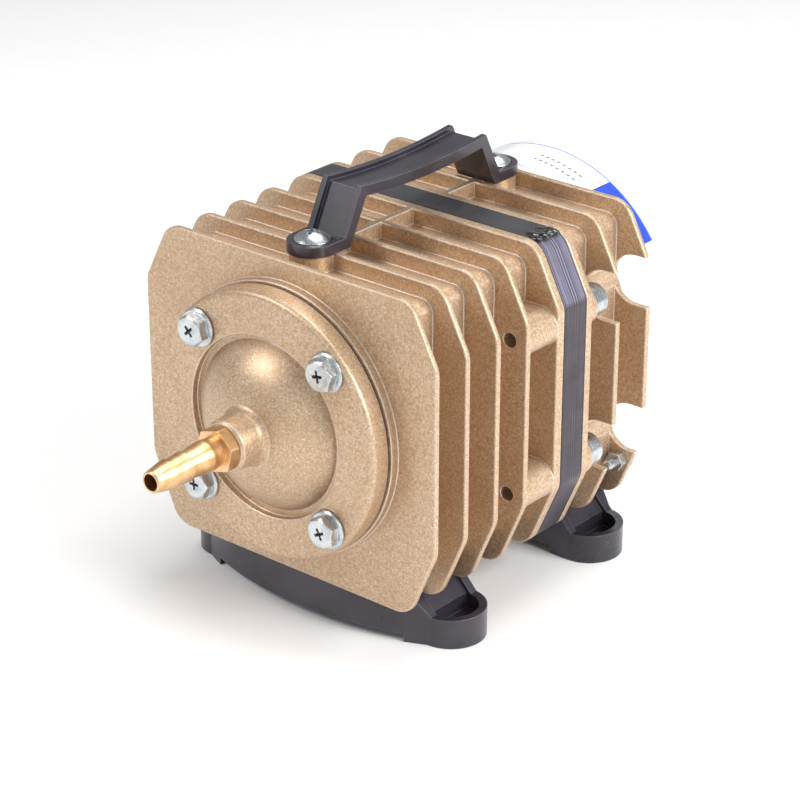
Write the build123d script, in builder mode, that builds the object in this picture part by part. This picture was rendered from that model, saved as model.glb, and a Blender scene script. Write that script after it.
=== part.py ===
"""Electromagnetic piston air pump for ponds and aquariums.

The row frame has +Z up and its origin on the standing plane, at the centre of the four foot holes.
The outlet looks towards -Y. Depths are counted along +Y from the front plate's front face.
"""

import os
from math import cos, radians, sin, sqrt

from build123d import *

os.makedirs("parts", exist_ok=True)

# ---------------------------------------------------------------- driving dimensions (mm)

AXIS_Z = 59.0  # height of the pump's axis above the standing plane
FRONT_Y = -51.3  # front plate's front face

# cooling plates: an octagon, seen along the pump's axis
PLATE_HALF = 50.0
PLATE_TOP = 43.5
PLATE_BOTTOM = -45.0
EDGE_HALF = 41.5
SHOULDER_TOP = 26.8
SHOULDER_BOTTOM = -25.0
TOP_CORNER = 3.5
SIDE_CORNER = 3.0
BOTTOM_CORNER = 7.0
FIN = 1.8
FIN_ROUND = 0.5
FRONT_FINS = (0.0, 12.2, 24.7, 37.2)
REAR_FINS = (77.0, 91.2)

# barrels and the stator between them
BARREL_HALF = 39.0
BARREL_CORNER = 3.5
CAVITY_HALF = 34.5
CAVITY_CORNER = 4.0
WALL_START = 1.5
CAVITY_START = 5.0
FRONT_FLANGE = 50.5
STATOR_FRONT = 53.5
STATOR_REAR = 63.0
REAR_FLANGE_END = 65.7
REAR_WALL_START = 75.0
REAR_WALL_END = 78.0
REAR_END = 93.0
TOP_RIB = 1.8
ROOT_LAP = 0.7

# cover, its boss and its gasket
BOSS_FRONT = -2.5
BOSS_R = 38.0
GASKET_FRONT = -3.2
GASKET_R = 36.9
GASKET_BORE_R = 26.0
COVER_FRONT = -9.0
COVER_R = 37.3
GROOVE_R = 25.5
DOME_R = 23.7
GROOVE_DEPTH = 2.0
SPOUT_R = 7.0
SPOUT_FRONT = -24.2
DOME_MID = (-13.4, 16.6)  # points on the dome and its chamber: depth, radius
DOME_TOP = (-16.0, 8.6)
SPOUT_ROOT = (-16.7, 7.9)
SPOUT_LOW = (-18.0, 7.4)
SPOUT_EDGE = 0.6
CHAMBER_FOOT = (-6.0, 20.0)
CHAMBER_MID = (-10.6, 14.5)
CHAMBER_TOP = (-13.0, 7.0)
OUTLET_R = 2.0

# hose barb, with its outline as depth and radius
BARB_THREAD_R = 4.4
BARB_THREAD_END = -16.2
BARB_HEX_HALF = 5.5
BARB_HEX_LONG = 3.4
BARB_HEX_TURN = 17
BARB_BORE_R = 2.3
BARB_TIP = -50.5
BARB_OUTLINE = (
    (BARB_THREAD_END, 0),
    (BARB_THREAD_END, BARB_THREAD_R),
    (-26.0, BARB_THREAD_R),
    (-27.6, 4.05),
    (-31.5, 4.35),
    (-38.4, 3.65),
    (-38.7, 4.15),
    (-44.0, 3.6),
    (-44.3, 4.05),
    (BARB_TIP + 0.3, 2.95),
    (BARB_TIP, 2.7),
    (BARB_TIP, 0),
)

# screws: shank radius and hole radius
M5_SHANK = 2.45
M5_HOLE = 2.5
M4_SHANK = 1.95
M4_HOLE = 2.0
M3_SHANK = 1.45
M3_HOLE = 1.5
LOOSE = 0.2  # a clearance hole is this much wider than a tapped one
TAP_ROOM = 1.0  # a blind hole is this much deeper than its screw
SCREW_AT = 22.2
COVER_SCREW_FLATS = 8.0
COVER_SCREW_COLLAR_R = 5.45
COVER_SCREW_END = 8.0
SCREW_BOSS_R = 5.0
BOSS_TAP = 7.0
TAP_R = 2.1
BOLT_X = 44.4
BOLT_Z = 22.2
BOLT_DROP = 0.6  # the bolts' pattern sits this much below the pump's axis
BOLT_END = 42.0
BOLT_BOSS_R = 5.5
BOLT_NOTCH_X = 45.5
BOLT_NOTCH_R = 7.2
BOLT_SEAT = 68.4
BOLT_SEAT_R = 5.4
BOLT_HEAD_R = 4.5
BOLT_HEAD_HIGH = 5.0
WASHER_R = 4.9
WASHER_HIGH = 0.8
SPRING_WASHER_R = 4.5
SPRING_WASHER_HIGH = 1.0
SPRING_WASHER_SLIT = 0.8

# cylinder, valves and the moving piston
BORE_R = 15.0
BORE_LEAD = 0.8
LINER_R = 17.5
TUBE_R = 21.0
LINER_END = 33.0
VALVE_PLATE_R = 27.5
SEAT_CLEARANCE = 0.05
PORT_R = 1.6
PORTS = 6
OUTLET_PORT_RING = 7.4
INTAKE_PORT_RING = 8.2
OUTLET_VALVE_R = 10.5
INTAKE_VALVE_R = 11.0
VALVE_GAP = 0.02
OUTLET_STOP = -7.0
INTAKE_LIFT = 0.8
STOP_R = 6.0
STOP_HIGH = 1.4
STOP_SLOT = (9.0, 1.2)
STOP_SLOT_DEEP = 0.8
PISTON_FRONT = 6.0
PISTON_LENGTH = 16.0
PISTON_CROWN = 4.0
PISTON_SKIRT_R = 10.6
PISTON_HUB_R = 5.5
PISTON_R = 14.5
SEAL_R = 14.95
SEAL_BORE_R = 12.5
SEAL_START = 9.0
SEAL_LENGTH = 8.0
SHAFT_R = 3.0
SHAFT_START = 14.0
SHAFT_END = 92.0
SHAFT_EDGE = 0.6
ARMATURE_R = 13.0
ARMATURE_START = 47.0
ARMATURE_LENGTH = 12.0
NUT_START = 86.2
NUT_HALF = 5.0
NUT_HIGH = 4.5
BUMPER_START = 84.3
BUMPER_R = 6.5
VALVE_THICK = 0.4
SHOULDER_R = 3.2
VALVE_BORE_R = 3.28

# springs: wire diameter, mean radius, front end, length, turns
OUTLET_SPRING = (0.4, 4.4, -6.7, 3.45, 3)
RETURN_SPRING = (1.4, 8.4, 59.75, 14.5, 4.5)

# stator
WINDOW_HALF = 36.0
WINDOW_STEP = 2.0
POLE_HALF = 10.0
POLE_FACE_R = 14.2
BOBBIN_IN = 18.5
BOBBIN_OUT = 33.0
BOBBIN_WALL = 1.2
BOBBIN_PLAY = 0.1
BOBBIN_CORNER = 1.5
COIL_THICK = 7.0
COIL_SET_IN = 0.8

# bearing wall of the rear housing
HUB_OUTER_R = 9.5
BUSH_R = 5.5
BUSH_END = 84.0
RUNNING = 0.05
VENT_RING = 21.0
VENT_R = 8.0
POST_PAD_R = 4.6
POST_TAP_R = 1.6
POST_TAP_START = 81.0

# handle
HANDLE_SCREWS = (10.8, 86.7)
HANDLE_HALF = 6.6
HANDLE_THICK = 3.0
HANDLE_RECESS = 1.3
HANDLE_RIM = 1.6
HANDLE_TOP = 15.5
HANDLE_SAG = 1.5
LEG_FOOT = 5.8
LEG_HEAD = 12.1
HANDLE_BOSS_R = 6.0
HANDLE_HEAD_R = 4.75
HANDLE_HEAD_HIGH = 3.6

# foot bars
FOOT_ROW = 31.0
CUP_X = 39.3
CUP_R = 9.75
CUP_HIGH = 8.5
CUP_FLOOR = 4.0
CUP_POCKET_R = 7.3
CUP_POCKET_X = 39.6
FOOT_HOLE_X = 42.4
FOOT_HOLE_R = 2.3
FOOT_BOW = 50.2
PAD_STEP = 2.2
PAD_INNER_X = 33.3
ARCH_HIGH = 2.9
ARM_TOP_X = 35.0
ARM_END_X = 40.3
WEB_DROP = 1.2
WEB_SET_IN = 0.6
WEB_END_X = 38.6
FOOT_SCREW_X = 22.0
FOOT_SCREW_DEPTH = 18.0
FOOT_BOSS_R = 5.0
FOOT_WELL_R = 4.2
FOOT_WELL_TOP = 8.0
FOOT_HEAD_R = 3.9
FOOT_HEAD_HIGH = 2.8

# rear cap
CAP_R = 43.6
CAP_END = 121.5
CAP_WALL = 2.0
CAP_SHOULDER = 6.5
LABEL_THICK = 0.18
LABEL_START = 95.5
LABEL_END = 113.6
LABEL_FROM = -62.0
LABEL_TO = 56.0
POST_X = 27.0
POST_R = 5.4
WELL_R = 4.0
POST_FLOOR = 3.5
CAP_HOLE_R = 1.9
CAP_HEAD_R = 3.4
CAP_HEAD_HIGH = 2.4
CAP_SCREW_LONG = 13.0
SLOT_RING = 15.0
SLOT_SIZE = (9.0, 2.4)
GROMMET_Z = -30.0
GROMMET_R = 4.6
GROMMET_FLANGE_R = 6.1
GROMMET_FLANGE = 1.4
GROMMET_START = 114.5
GROMMET_ROUND = 0.5
CABLE_R = 3.1
SPONGE_R = 38.1
SPONGE_START = 110.0
SPONGE_END = 117.5
SPONGE_PLAY = 1.6

# earth terminal on the rearmost plate
EARTH_X = 42.6
EARTH_Z = -33.5
EARTH_HEAD_R = 2.8
EARTH_HEAD_HIGH = 2.0
EARTH_SCREW_LONG = 8.5
EARTH_WASHER_R = 3.5
EARTH_WASHER_HIGH = 0.6
EARTH_NUT_HALF = 2.5
EARTH_NUT_HIGH = 2.6

PUMP_AXIS = Axis((0, 0, AXIS_Z), (0, 1, 0))
LENGTHWISE = Plane(origin=(0, FRONT_Y, AXIS_Z), x_dir=(0, 1, 0), z_dir=(1, 0, 0))


# ---------------------------------------------------------------- shared shapes


def section(depth):
    """Plane across the pump at a depth, facing the front, with X to the right and Z up."""
    return Plane(origin=(0, FRONT_Y + depth, AXIS_Z), x_dir=(1, 0, 0), z_dir=(0, -1, 0))


def seen_from_rear(depth):
    """Plane across the pump at a depth, facing the rear, for screws whose heads look backwards."""
    return Plane(origin=(0, FRONT_Y + depth, AXIS_Z), x_dir=(-1, 0, 0), z_dir=(0, 1, 0))


def octagon(depth):
    """The cooling plates' outline."""
    corners = [
        (EDGE_HALF, PLATE_TOP),
        (PLATE_HALF, SHOULDER_TOP),
        (PLATE_HALF, SHOULDER_BOTTOM),
        (EDGE_HALF, PLATE_BOTTOM),
    ]
    outline = corners + [(-x, z) for x, z in reversed(corners)]
    with BuildSketch(section(depth)) as sketch:
        with BuildLine():
            Polyline(*outline, close=True)
        make_face()
        fillet(sketch.vertices().group_by(Axis.Z)[0], BOTTOM_CORNER)
        fillet(sketch.vertices().group_by(Axis.Z)[-1], TOP_CORNER)
        shoulders = [v for v in sketch.vertices() if abs(abs(v.X) - PLATE_HALF) < ROOT_LAP]
        fillet(shoulders, SIDE_CORNER)
    return sketch.sketch


def square(depth, half, corner):
    """A square with rounded corners, centred on the pump's axis."""
    with BuildSketch(section(depth)) as sketch:
        RectangleRounded(2 * half, 2 * half, corner)
    return sketch.sketch


def disc(depth, radius, places=((0, 0),)):
    """Round faces at the given X and Z places, measured from the pump's axis."""
    with BuildSketch(section(depth)) as sketch:
        with Locations(*places):
            Circle(radius)
    return sketch.sketch


def ring(depth, outer, inner, places=((0, 0),)):
    """Ring faces at the given X and Z places, measured from the pump's axis."""
    with BuildSketch(section(depth)) as sketch:
        with Locations(*places):
            Circle(outer)
            Circle(inner, mode=Mode.SUBTRACT)
    return sketch.sketch


def half_profile(*points):
    """A closed outline of depth and radius, to be turned about the pump's axis."""
    with BuildSketch(LENGTHWISE) as sketch:
        with BuildLine():
            Polyline(*points, close=True)
        make_face()
    return sketch.sketch


def four(x, z):
    """The four places that mirror one another across the pump's axis."""
    return [(x, z), (-x, z), (-x, -z), (x, -z)]


def beside_bolts(x):
    """The four places level with the bolts, at a distance x from the middle plane."""
    return [(side, height - BOLT_DROP) for side, height in four(x, BOLT_Z)]


def outside(part, radius):
    """The round edges of a part that are wider than a radius."""
    return part.edges().filter_by(GeomType.CIRCLE).filter_by(lambda edge: edge.radius > radius)


def cross_recess(top, size, deep):
    """The cross recess of a screw head whose top is at the given height."""
    arm = size / 4
    draft = 8
    with BuildPart() as recess:
        for turn in (0, 90):
            with BuildSketch(Plane.XY.offset(top)):
                Rectangle(size, arm, rotation=turn)
            extrude(amount=-deep, taper=draft)
    return recess.part


def pan_screw(head_r, head_high, shank_r, shank_long, side_share=0.4):
    """A pan head screw with a cross recess, head up, its seat at z = 0.

    The head's side is upright for side_share of its height, and its top is a shallow dome.
    """
    edge_high = head_high * side_share
    crown = head_high - edge_high
    crown_r = (head_r**2 + crown**2) / (2 * crown)
    mid_r = head_r * 0.6
    mid_high = head_high - crown_r + sqrt(crown_r**2 - mid_r**2)
    with BuildPart() as screw:
        with BuildSketch(Plane.XZ):
            with BuildLine():
                Line((0, 0), (head_r, 0))
                Line((head_r, 0), (head_r, edge_high))
                ThreePointArc((head_r, edge_high), (mid_r, mid_high), (0, head_high))
                Line((0, head_high), (0, 0))
            make_face()
        revolve(axis=Axis.Z)
        with BuildSketch(Plane.XY):
            Circle(shank_r)
        extrude(amount=-shank_long)
        chamfer(screw.faces().sort_by(Axis.Z)[0].edges(), shank_r / 3)
        add(cross_recess(head_high, head_r * 0.85, head_high * 0.5), mode=Mode.SUBTRACT)
    return screw.part


def collar_screw(across_flats, collar_r, shank_r, shank_long):
    """A hexagon screw with a pressed collar and a cross recess, its seat at z = 0."""
    collar_high = 1.1
    head_high = 4.0
    with BuildPart() as screw:
        with BuildSketch(Plane.XY):
            RegularPolygon(across_flats / 2, 6, major_radius=False)
        extrude(amount=head_high)
        with BuildSketch(Plane.XZ):
            with BuildLine():
                Polyline(
                    (0, 0),
                    (across_flats * 0.6, 0),
                    (across_flats * 0.6, head_high * 0.8),
                    (across_flats * 0.46, head_high),
                    (0, head_high),
                    close=True,
                )
            make_face()
        revolve(axis=Axis.Z, mode=Mode.INTERSECT)
        with BuildSketch(Plane.XZ):
            with BuildLine():
                Polyline(
                    (0, 0),
                    (collar_r - 0.3, 0),
                    (collar_r, 0.3),
                    (collar_r, collar_high - 0.4),
                    (collar_r - 0.5, collar_high),
                    (0, collar_high + 0.3),
                    close=True,
                )
            make_face()
        revolve(axis=Axis.Z)
        with BuildSketch(Plane.XY):
            Circle(shank_r)
        extrude(amount=-shank_long)
        chamfer(screw.faces().sort_by(Axis.Z)[0].edges(), shank_r / 3)
        add(cross_recess(head_high, across_flats * 0.42, head_high * 0.5), mode=Mode.SUBTRACT)
    return screw.part


def save(piece, name):
    """Label a finished piece and write it as one STEP file."""
    piece.part.label = name
    export_step(piece.part, f"parts/{name}.step")


BOLTS = beside_bolts(BOLT_X)

# ---------------------------------------------------------------- front housing

FOOT_SCREW_Y = FRONT_Y + FOOT_SCREW_DEPTH
FRONT_FOOT_SCREWS = [(-FOOT_SCREW_X, FOOT_SCREW_Y), (FOOT_SCREW_X, FOOT_SCREW_Y)]
REAR_FOOT_SCREWS = [(-FOOT_SCREW_X, -FOOT_SCREW_Y), (FOOT_SCREW_X, -FOOT_SCREW_Y)]


def top_boss(depth):
    """Upright boss under a handle screw, from the barrel to the plates' top edge."""
    plane = Plane.XY.offset(AXIS_Z + BARREL_HALF - ROOT_LAP)
    with BuildSketch(plane) as sketch:
        with Locations((0, FRONT_Y + depth)):
            Circle(HANDLE_BOSS_R)
    return extrude(sketch.sketch, amount=PLATE_TOP - BARREL_HALF + ROOT_LAP, mode=Mode.PRIVATE)


def bottom_bosses(places):
    """The two upright bosses that a foot bar is screwed to."""
    with BuildSketch(Plane.XY.offset(AXIS_Z + PLATE_BOTTOM)) as sketch:
        with Locations(*places):
            Circle(FOOT_BOSS_R)
    return extrude(sketch.sketch, amount=-BARREL_HALF + ROOT_LAP - PLATE_BOTTOM, mode=Mode.PRIVATE)


def upright_holes(z, radius, deep, places):
    """Blind holes along Z from height z, upwards when deep is positive."""
    with BuildSketch(Plane.XY.offset(z)) as sketch:
        with Locations(*places):
            Circle(radius)
    return extrude(sketch.sketch, amount=deep, mode=Mode.PRIVATE)


def top_rib(start, end):
    """Lengthwise rib on the barrel, level with the plates' top edge."""
    with BuildSketch(section(start)) as sketch:
        with Locations((0, (PLATE_TOP + BARREL_HALF - ROOT_LAP) / 2)):
            Rectangle(TOP_RIB, PLATE_TOP - BARREL_HALF + ROOT_LAP)
    return extrude(sketch.sketch, amount=start - end, mode=Mode.PRIVATE)


def handle_screw_hole(depth):
    """The blind hole under a handle screw."""
    return upright_holes(AXIS_Z + PLATE_TOP, M5_HOLE, -BOSS_TAP - TAP_ROOM, [(0, FRONT_Y + depth)])


def foot_screw_holes(places):
    """The blind holes over the screws of a foot bar."""
    return upright_holes(AXIS_Z + PLATE_BOTTOM, M4_HOLE, BOSS_TAP + TAP_ROOM, places)


with BuildPart() as front_housing:
    for fin_depth in FRONT_FINS:
        extrude(octagon(fin_depth), amount=-FIN)
    extrude(octagon(FRONT_FLANGE), amount=FRONT_FLANGE - STATOR_FRONT)
    plate_rims = front_housing.edges().filter_by(
        lambda edge: abs(edge.tangent_at(0.5).Y) < 0.5
    )
    fillet(plate_rims, FIN_ROUND)
    extrude(square(0, BARREL_HALF, BARREL_CORNER), amount=-STATOR_FRONT)
    extrude(disc(BOSS_FRONT, BOSS_R), amount=BOSS_FRONT - FIN)
    add(top_rib(FRONT_FINS[1], FRONT_FLANGE))
    add(top_boss(HANDLE_SCREWS[0]))
    add(bottom_bosses(FRONT_FOOT_SCREWS))
    # bolt bosses bridge the gap behind the last plate, each with a web to the barrel
    boss_start = FRONT_FINS[-1] + FIN / 2
    with BuildSketch(section(boss_start)):
        with Locations(*BOLTS):
            Circle(BOLT_BOSS_R)
        with Locations(*beside_bolts((BOLT_X + BARREL_HALF - ROOT_LAP) / 2)):
            Rectangle(BOLT_X - BARREL_HALF + ROOT_LAP, 2 * BOLT_BOSS_R)
    extrude(amount=boss_start - FRONT_FLANGE - FIN_ROUND)
    # air space, and the cylinder tube that stands in it
    extrude(
        square(CAVITY_START, CAVITY_HALF, CAVITY_CORNER),
        amount=CAVITY_START - STATOR_FRONT,
        mode=Mode.SUBTRACT,
    )
    extrude(disc(WALL_START, TUBE_R), amount=WALL_START - LINER_END)
    screw_boss_end = COVER_SCREW_END + 3 * TAP_ROOM
    extrude(
        disc(CAVITY_START - TAP_ROOM, SCREW_BOSS_R, four(SCREW_AT, SCREW_AT)),
        amount=CAVITY_START - TAP_ROOM - screw_boss_end,
    )
    extrude(
        disc(BOSS_FRONT, VALVE_PLATE_R + SEAT_CLEARANCE),
        amount=BOSS_FRONT - WALL_START,
        mode=Mode.SUBTRACT,
    )
    extrude(disc(0, LINER_R + SEAT_CLEARANCE), amount=-LINER_END, mode=Mode.SUBTRACT)
    # holes
    extrude(
        disc(BOSS_FRONT, M5_HOLE, four(SCREW_AT, SCREW_AT)),
        amount=BOSS_FRONT - COVER_SCREW_END - TAP_ROOM,
        mode=Mode.SUBTRACT,
    )
    extrude(
        disc(FRONT_FINS[-1], TAP_R, BOLTS),
        amount=FRONT_FINS[-1] - STATOR_FRONT,
        mode=Mode.SUBTRACT,
    )
    extrude(
        disc(BOLT_END - TAP_ROOM / 2, M5_HOLE, BOLTS),
        amount=BOLT_END - TAP_ROOM / 2 - STATOR_FRONT,
        mode=Mode.SUBTRACT,
    )
    add(handle_screw_hole(HANDLE_SCREWS[0]), mode=Mode.SUBTRACT)
    add(foot_screw_holes(FRONT_FOOT_SCREWS), mode=Mode.SUBTRACT)
save(front_housing, "front_housing")

# ---------------------------------------------------------------- front cover and outlet

GROOVE_FLOOR = COVER_FRONT + GROOVE_DEPTH
DOME_ROOT = GROOVE_FLOOR + 1.0
COVER_ROUND = 1.6

with BuildPart() as front_cover:
    revolve(
        half_profile(
            (GASKET_FRONT, 0),
            (GASKET_FRONT, COVER_R),
            (COVER_FRONT, COVER_R),
            (COVER_FRONT, GROOVE_R),
            (GROOVE_FLOOR, GROOVE_R),
            (GROOVE_FLOOR, 0),
        ),
        axis=PUMP_AXIS,
    )
    flange_rim = front_cover.faces().sort_by(Axis.Y)[0].outer_wire().edges()
    fillet(flange_rim, COVER_ROUND)
    # dome, then the spout that takes the hose barb
    with BuildSketch(LENGTHWISE):
        with BuildLine():
            dome_foot = (GROOVE_FLOOR, DOME_R)
            spout_lip = (SPOUT_FRONT + SPOUT_EDGE, SPOUT_R)
            spout_face = (SPOUT_FRONT, SPOUT_R - SPOUT_EDGE)
            Polyline((SPOUT_FRONT, 0), (DOME_ROOT, 0), (DOME_ROOT, DOME_R), dome_foot)
            ThreePointArc(dome_foot, DOME_MID, DOME_TOP)
            ThreePointArc(DOME_TOP, SPOUT_ROOT, SPOUT_LOW)
            Polyline(SPOUT_LOW, spout_lip, spout_face, (SPOUT_FRONT, 0))
        make_face()
    revolve(axis=PUMP_AXIS)
    # outlet chamber behind the dome
    with BuildSketch(LENGTHWISE):
        with BuildLine():
            chamber_mouth = (GASKET_FRONT, CHAMBER_FOOT[1])
            Polyline((CHAMBER_TOP[0], 0), (GASKET_FRONT, 0), chamber_mouth, CHAMBER_FOOT)
            ThreePointArc(CHAMBER_FOOT, CHAMBER_MID, CHAMBER_TOP)
            Line(CHAMBER_TOP, (CHAMBER_TOP[0], 0))
        make_face()
    revolve(axis=PUMP_AXIS, mode=Mode.SUBTRACT)
    extrude(disc(SPOUT_FRONT, OUTLET_R), amount=SPOUT_FRONT, mode=Mode.SUBTRACT)
    extrude(
        disc(SPOUT_FRONT, BARB_THREAD_R + LOOSE / 2),
        amount=SPOUT_FRONT - BARB_THREAD_END - LOOSE,
        mode=Mode.SUBTRACT,
    )
    extrude(
        disc(COVER_FRONT, M5_HOLE + LOOSE, four(SCREW_AT, SCREW_AT)),
        amount=COVER_FRONT,
        mode=Mode.SUBTRACT,
    )
save(front_cover, "front_cover")

with BuildPart() as cover_gasket:
    extrude(ring(GASKET_FRONT, GASKET_R, GASKET_BORE_R), amount=GASKET_FRONT - BOSS_FRONT)
    extrude(
        disc(GASKET_FRONT, M5_HOLE + LOOSE, four(SCREW_AT, SCREW_AT)),
        amount=GASKET_FRONT - BOSS_FRONT,
        mode=Mode.SUBTRACT,
    )
save(cover_gasket, "cover_gasket")

COVER_SCREW = collar_screw(
    COVER_SCREW_FLATS, COVER_SCREW_COLLAR_R, M5_SHANK, COVER_SCREW_END - COVER_FRONT
)

with BuildPart() as cover_screws:
    for turn, (screw_x, screw_z) in zip((12, 41, 3, 27), four(SCREW_AT, SCREW_AT)):
        seat = Location(section(COVER_FRONT)) * Location((screw_x, screw_z, 0), (0, 0, turn))
        add(COVER_SCREW.moved(seat))
save(cover_screws, "cover_screws")

with BuildPart() as hose_barb:
    with BuildSketch(section(SPOUT_FRONT)):
        RegularPolygon(BARB_HEX_HALF, 6, major_radius=False, rotation=BARB_HEX_TURN)
    extrude(amount=BARB_HEX_LONG)
    # the hexagon's corners are turned off at both ends, to a collar in front of it
    collar_front = SPOUT_FRONT - BARB_HEX_LONG - 1.0
    revolve(
        half_profile(
            (collar_front, 0),
            (collar_front, BARB_HEX_HALF - 0.3),
            (SPOUT_FRONT - BARB_HEX_LONG, BARB_HEX_HALF + 0.7),
            (SPOUT_FRONT - SPOUT_EDGE, BARB_HEX_HALF + 0.85),
            (SPOUT_FRONT, BARB_HEX_HALF + 0.1),
            (SPOUT_FRONT, 0),
        ),
        axis=PUMP_AXIS,
        mode=Mode.INTERSECT,
    )
    revolve(half_profile(*BARB_OUTLINE), axis=PUMP_AXIS)
    extrude(disc(BARB_TIP, BARB_BORE_R), amount=BARB_TIP, mode=Mode.SUBTRACT)
save(hose_barb, "hose_barb")

# ---------------------------------------------------------------- cylinder head and its valve

PLATE_HIGH = WALL_START - BOSS_FRONT


def valve_disc(seat, radius):
    """A thin valve disc that lies a hair's breadth in front of its seat."""
    return extrude(
        ring(seat - VALVE_THICK - VALVE_GAP, radius, VALVE_BORE_R),
        amount=-VALVE_THICK,
        mode=Mode.PRIVATE,
    )


def guide_screw(stop, seat, shank_long):
    """A slotted shoulder screw: its head stops the valve disc that slides on its shoulder."""
    with BuildPart() as screw:
        extrude(disc(stop - STOP_HIGH, STOP_R), amount=-STOP_HIGH)
        extrude(disc(stop, SHOULDER_R), amount=stop - seat)
        extrude(disc(seat, M4_SHANK), amount=-shank_long)
        with BuildSketch(section(stop - STOP_HIGH)):
            Rectangle(*STOP_SLOT)
        extrude(amount=-STOP_SLOT_DEEP, mode=Mode.SUBTRACT)
    return screw.part


with BuildPart() as valve_plate:
    extrude(disc(BOSS_FRONT, VALVE_PLATE_R), amount=-PLATE_HIGH)
    with BuildSketch(section(BOSS_FRONT)):
        with PolarLocations(OUTLET_PORT_RING, PORTS):
            Circle(PORT_R)
    extrude(amount=-PLATE_HIGH, mode=Mode.SUBTRACT)
    extrude(disc(BOSS_FRONT, M4_HOLE), amount=-PLATE_HIGH, mode=Mode.SUBTRACT)
save(valve_plate, "valve_plate")

with BuildPart() as outlet_valve:
    add(valve_disc(BOSS_FRONT, OUTLET_VALVE_R))
save(outlet_valve, "outlet_valve")

with BuildPart() as outlet_valve_screw:
    add(guide_screw(OUTLET_STOP, BOSS_FRONT, PLATE_HIGH - LOOSE))
save(outlet_valve_screw, "outlet_valve_screw")


def coil_spring(wire, mean_r, start, length, turns):
    """A round-wire compression spring about the pump's axis, with its ends cut square."""
    base = Plane(origin=(0, FRONT_Y + start, AXIS_Z), x_dir=(1, 0, 0), z_dir=(0, 1, 0))
    helix = base.location * Helix(pitch=length / turns, height=length, radius=mean_r)
    with BuildPart() as spring:
        with BuildLine():
            add(helix)
        with BuildSketch(Plane(origin=helix @ 0, z_dir=helix % 0)):
            Circle(wire / 2)
        sweep(is_frenet=True)
    return spring.part


with BuildPart() as outlet_valve_spring:
    add(coil_spring(*OUTLET_SPRING))
save(outlet_valve_spring, "outlet_valve_spring")

with BuildPart() as cylinder_liner:
    extrude(ring(WALL_START, LINER_R, BORE_R), amount=WALL_START - LINER_END)
    bore_mouth = cylinder_liner.faces().sort_by(Axis.Y)[-1].inner_wires()[0].edges()
    chamfer(bore_mouth, BORE_LEAD)
save(cylinder_liner, "cylinder_liner")

# ---------------------------------------------------------------- moving piston

with BuildPart() as piston:
    extrude(disc(PISTON_FRONT, PISTON_R), amount=-PISTON_LENGTH)
    extrude(ring(SEAL_START, BORE_R, SEAL_BORE_R), amount=-SEAL_LENGTH, mode=Mode.SUBTRACT)
    extrude(
        ring(PISTON_FRONT + PISTON_CROWN, PISTON_SKIRT_R, PISTON_HUB_R),
        amount=-PISTON_LENGTH,
        mode=Mode.SUBTRACT,
    )
    with BuildSketch(section(PISTON_FRONT)):
        with PolarLocations(INTAKE_PORT_RING, PORTS):
            Circle(PORT_R)
    extrude(amount=-PISTON_CROWN - PORT_R, mode=Mode.SUBTRACT)
    extrude(disc(PISTON_FRONT, M4_HOLE), amount=PISTON_FRONT - SHAFT_START, mode=Mode.SUBTRACT)
    extrude(disc(SHAFT_START, SHAFT_R), amount=-PISTON_LENGTH, mode=Mode.SUBTRACT)
save(piston, "piston")

with BuildPart() as piston_seal:
    extrude(ring(SEAL_START, SEAL_R, SEAL_BORE_R), amount=-SEAL_LENGTH)
save(piston_seal, "piston_seal")

INTAKE_STOP = PISTON_FRONT - VALVE_THICK - INTAKE_LIFT

with BuildPart() as intake_valve:
    add(valve_disc(PISTON_FRONT, INTAKE_VALVE_R))
save(intake_valve, "intake_valve")

with BuildPart() as intake_valve_screw:
    add(guide_screw(INTAKE_STOP, PISTON_FRONT, SHAFT_START - PISTON_FRONT - TAP_ROOM / 2))
save(intake_valve_screw, "intake_valve_screw")

with BuildPart() as piston_shaft:
    extrude(disc(SHAFT_START, SHAFT_R), amount=SHAFT_START - SHAFT_END)
    chamfer(piston_shaft.edges().sort_by(Axis.Y)[-1], SHAFT_EDGE)
save(piston_shaft, "piston_shaft")

with BuildPart() as armature:
    extrude(ring(ARMATURE_START, ARMATURE_R, SHAFT_R), amount=-ARMATURE_LENGTH)
    chamfer(outside(armature, SHAFT_R + SHAFT_EDGE), SHAFT_EDGE)
save(armature, "armature")

with BuildPart() as shaft_nut:
    with BuildSketch(section(NUT_START)):
        RegularPolygon(NUT_HALF, 6, major_radius=False)
        Circle(SHAFT_R, mode=Mode.SUBTRACT)
    extrude(amount=-NUT_HIGH)
save(shaft_nut, "shaft_nut")

with BuildPart() as shaft_bumper:
    extrude(ring(BUMPER_START, BUMPER_R, SHAFT_R), amount=BUMPER_START - NUT_START)
    fillet(outside(shaft_bumper, SHAFT_R + SHAFT_EDGE), SHAFT_EDGE)
save(shaft_bumper, "shaft_bumper")

with BuildPart() as return_spring:
    add(coil_spring(*RETURN_SPRING))
save(return_spring, "return_spring")

# ---------------------------------------------------------------- stator

STATOR_DEEP = STATOR_REAR - STATOR_FRONT
STATOR_MID_Y = FRONT_Y + (STATOR_FRONT + STATOR_REAR) / 2

with BuildPart() as stator_laminations:
    extrude(octagon(STATOR_FRONT), amount=-STATOR_DEEP)
    extrude(
        square(STATOR_FRONT, WINDOW_HALF - WINDOW_STEP, CAVITY_CORNER),
        amount=-STATOR_DEEP,
        mode=Mode.SUBTRACT,
    )
    with BuildSketch(section(STATOR_FRONT)):
        Rectangle(2 * WINDOW_HALF, 2 * POLE_HALF)
        Circle(POLE_FACE_R, mode=Mode.SUBTRACT)
    extrude(amount=-STATOR_DEEP)
    extrude(
        disc(STATOR_FRONT, M5_HOLE + LOOSE, BOLTS),
        amount=-STATOR_DEEP,
        mode=Mode.SUBTRACT,
    )
save(stator_laminations, "stator_laminations")


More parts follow.
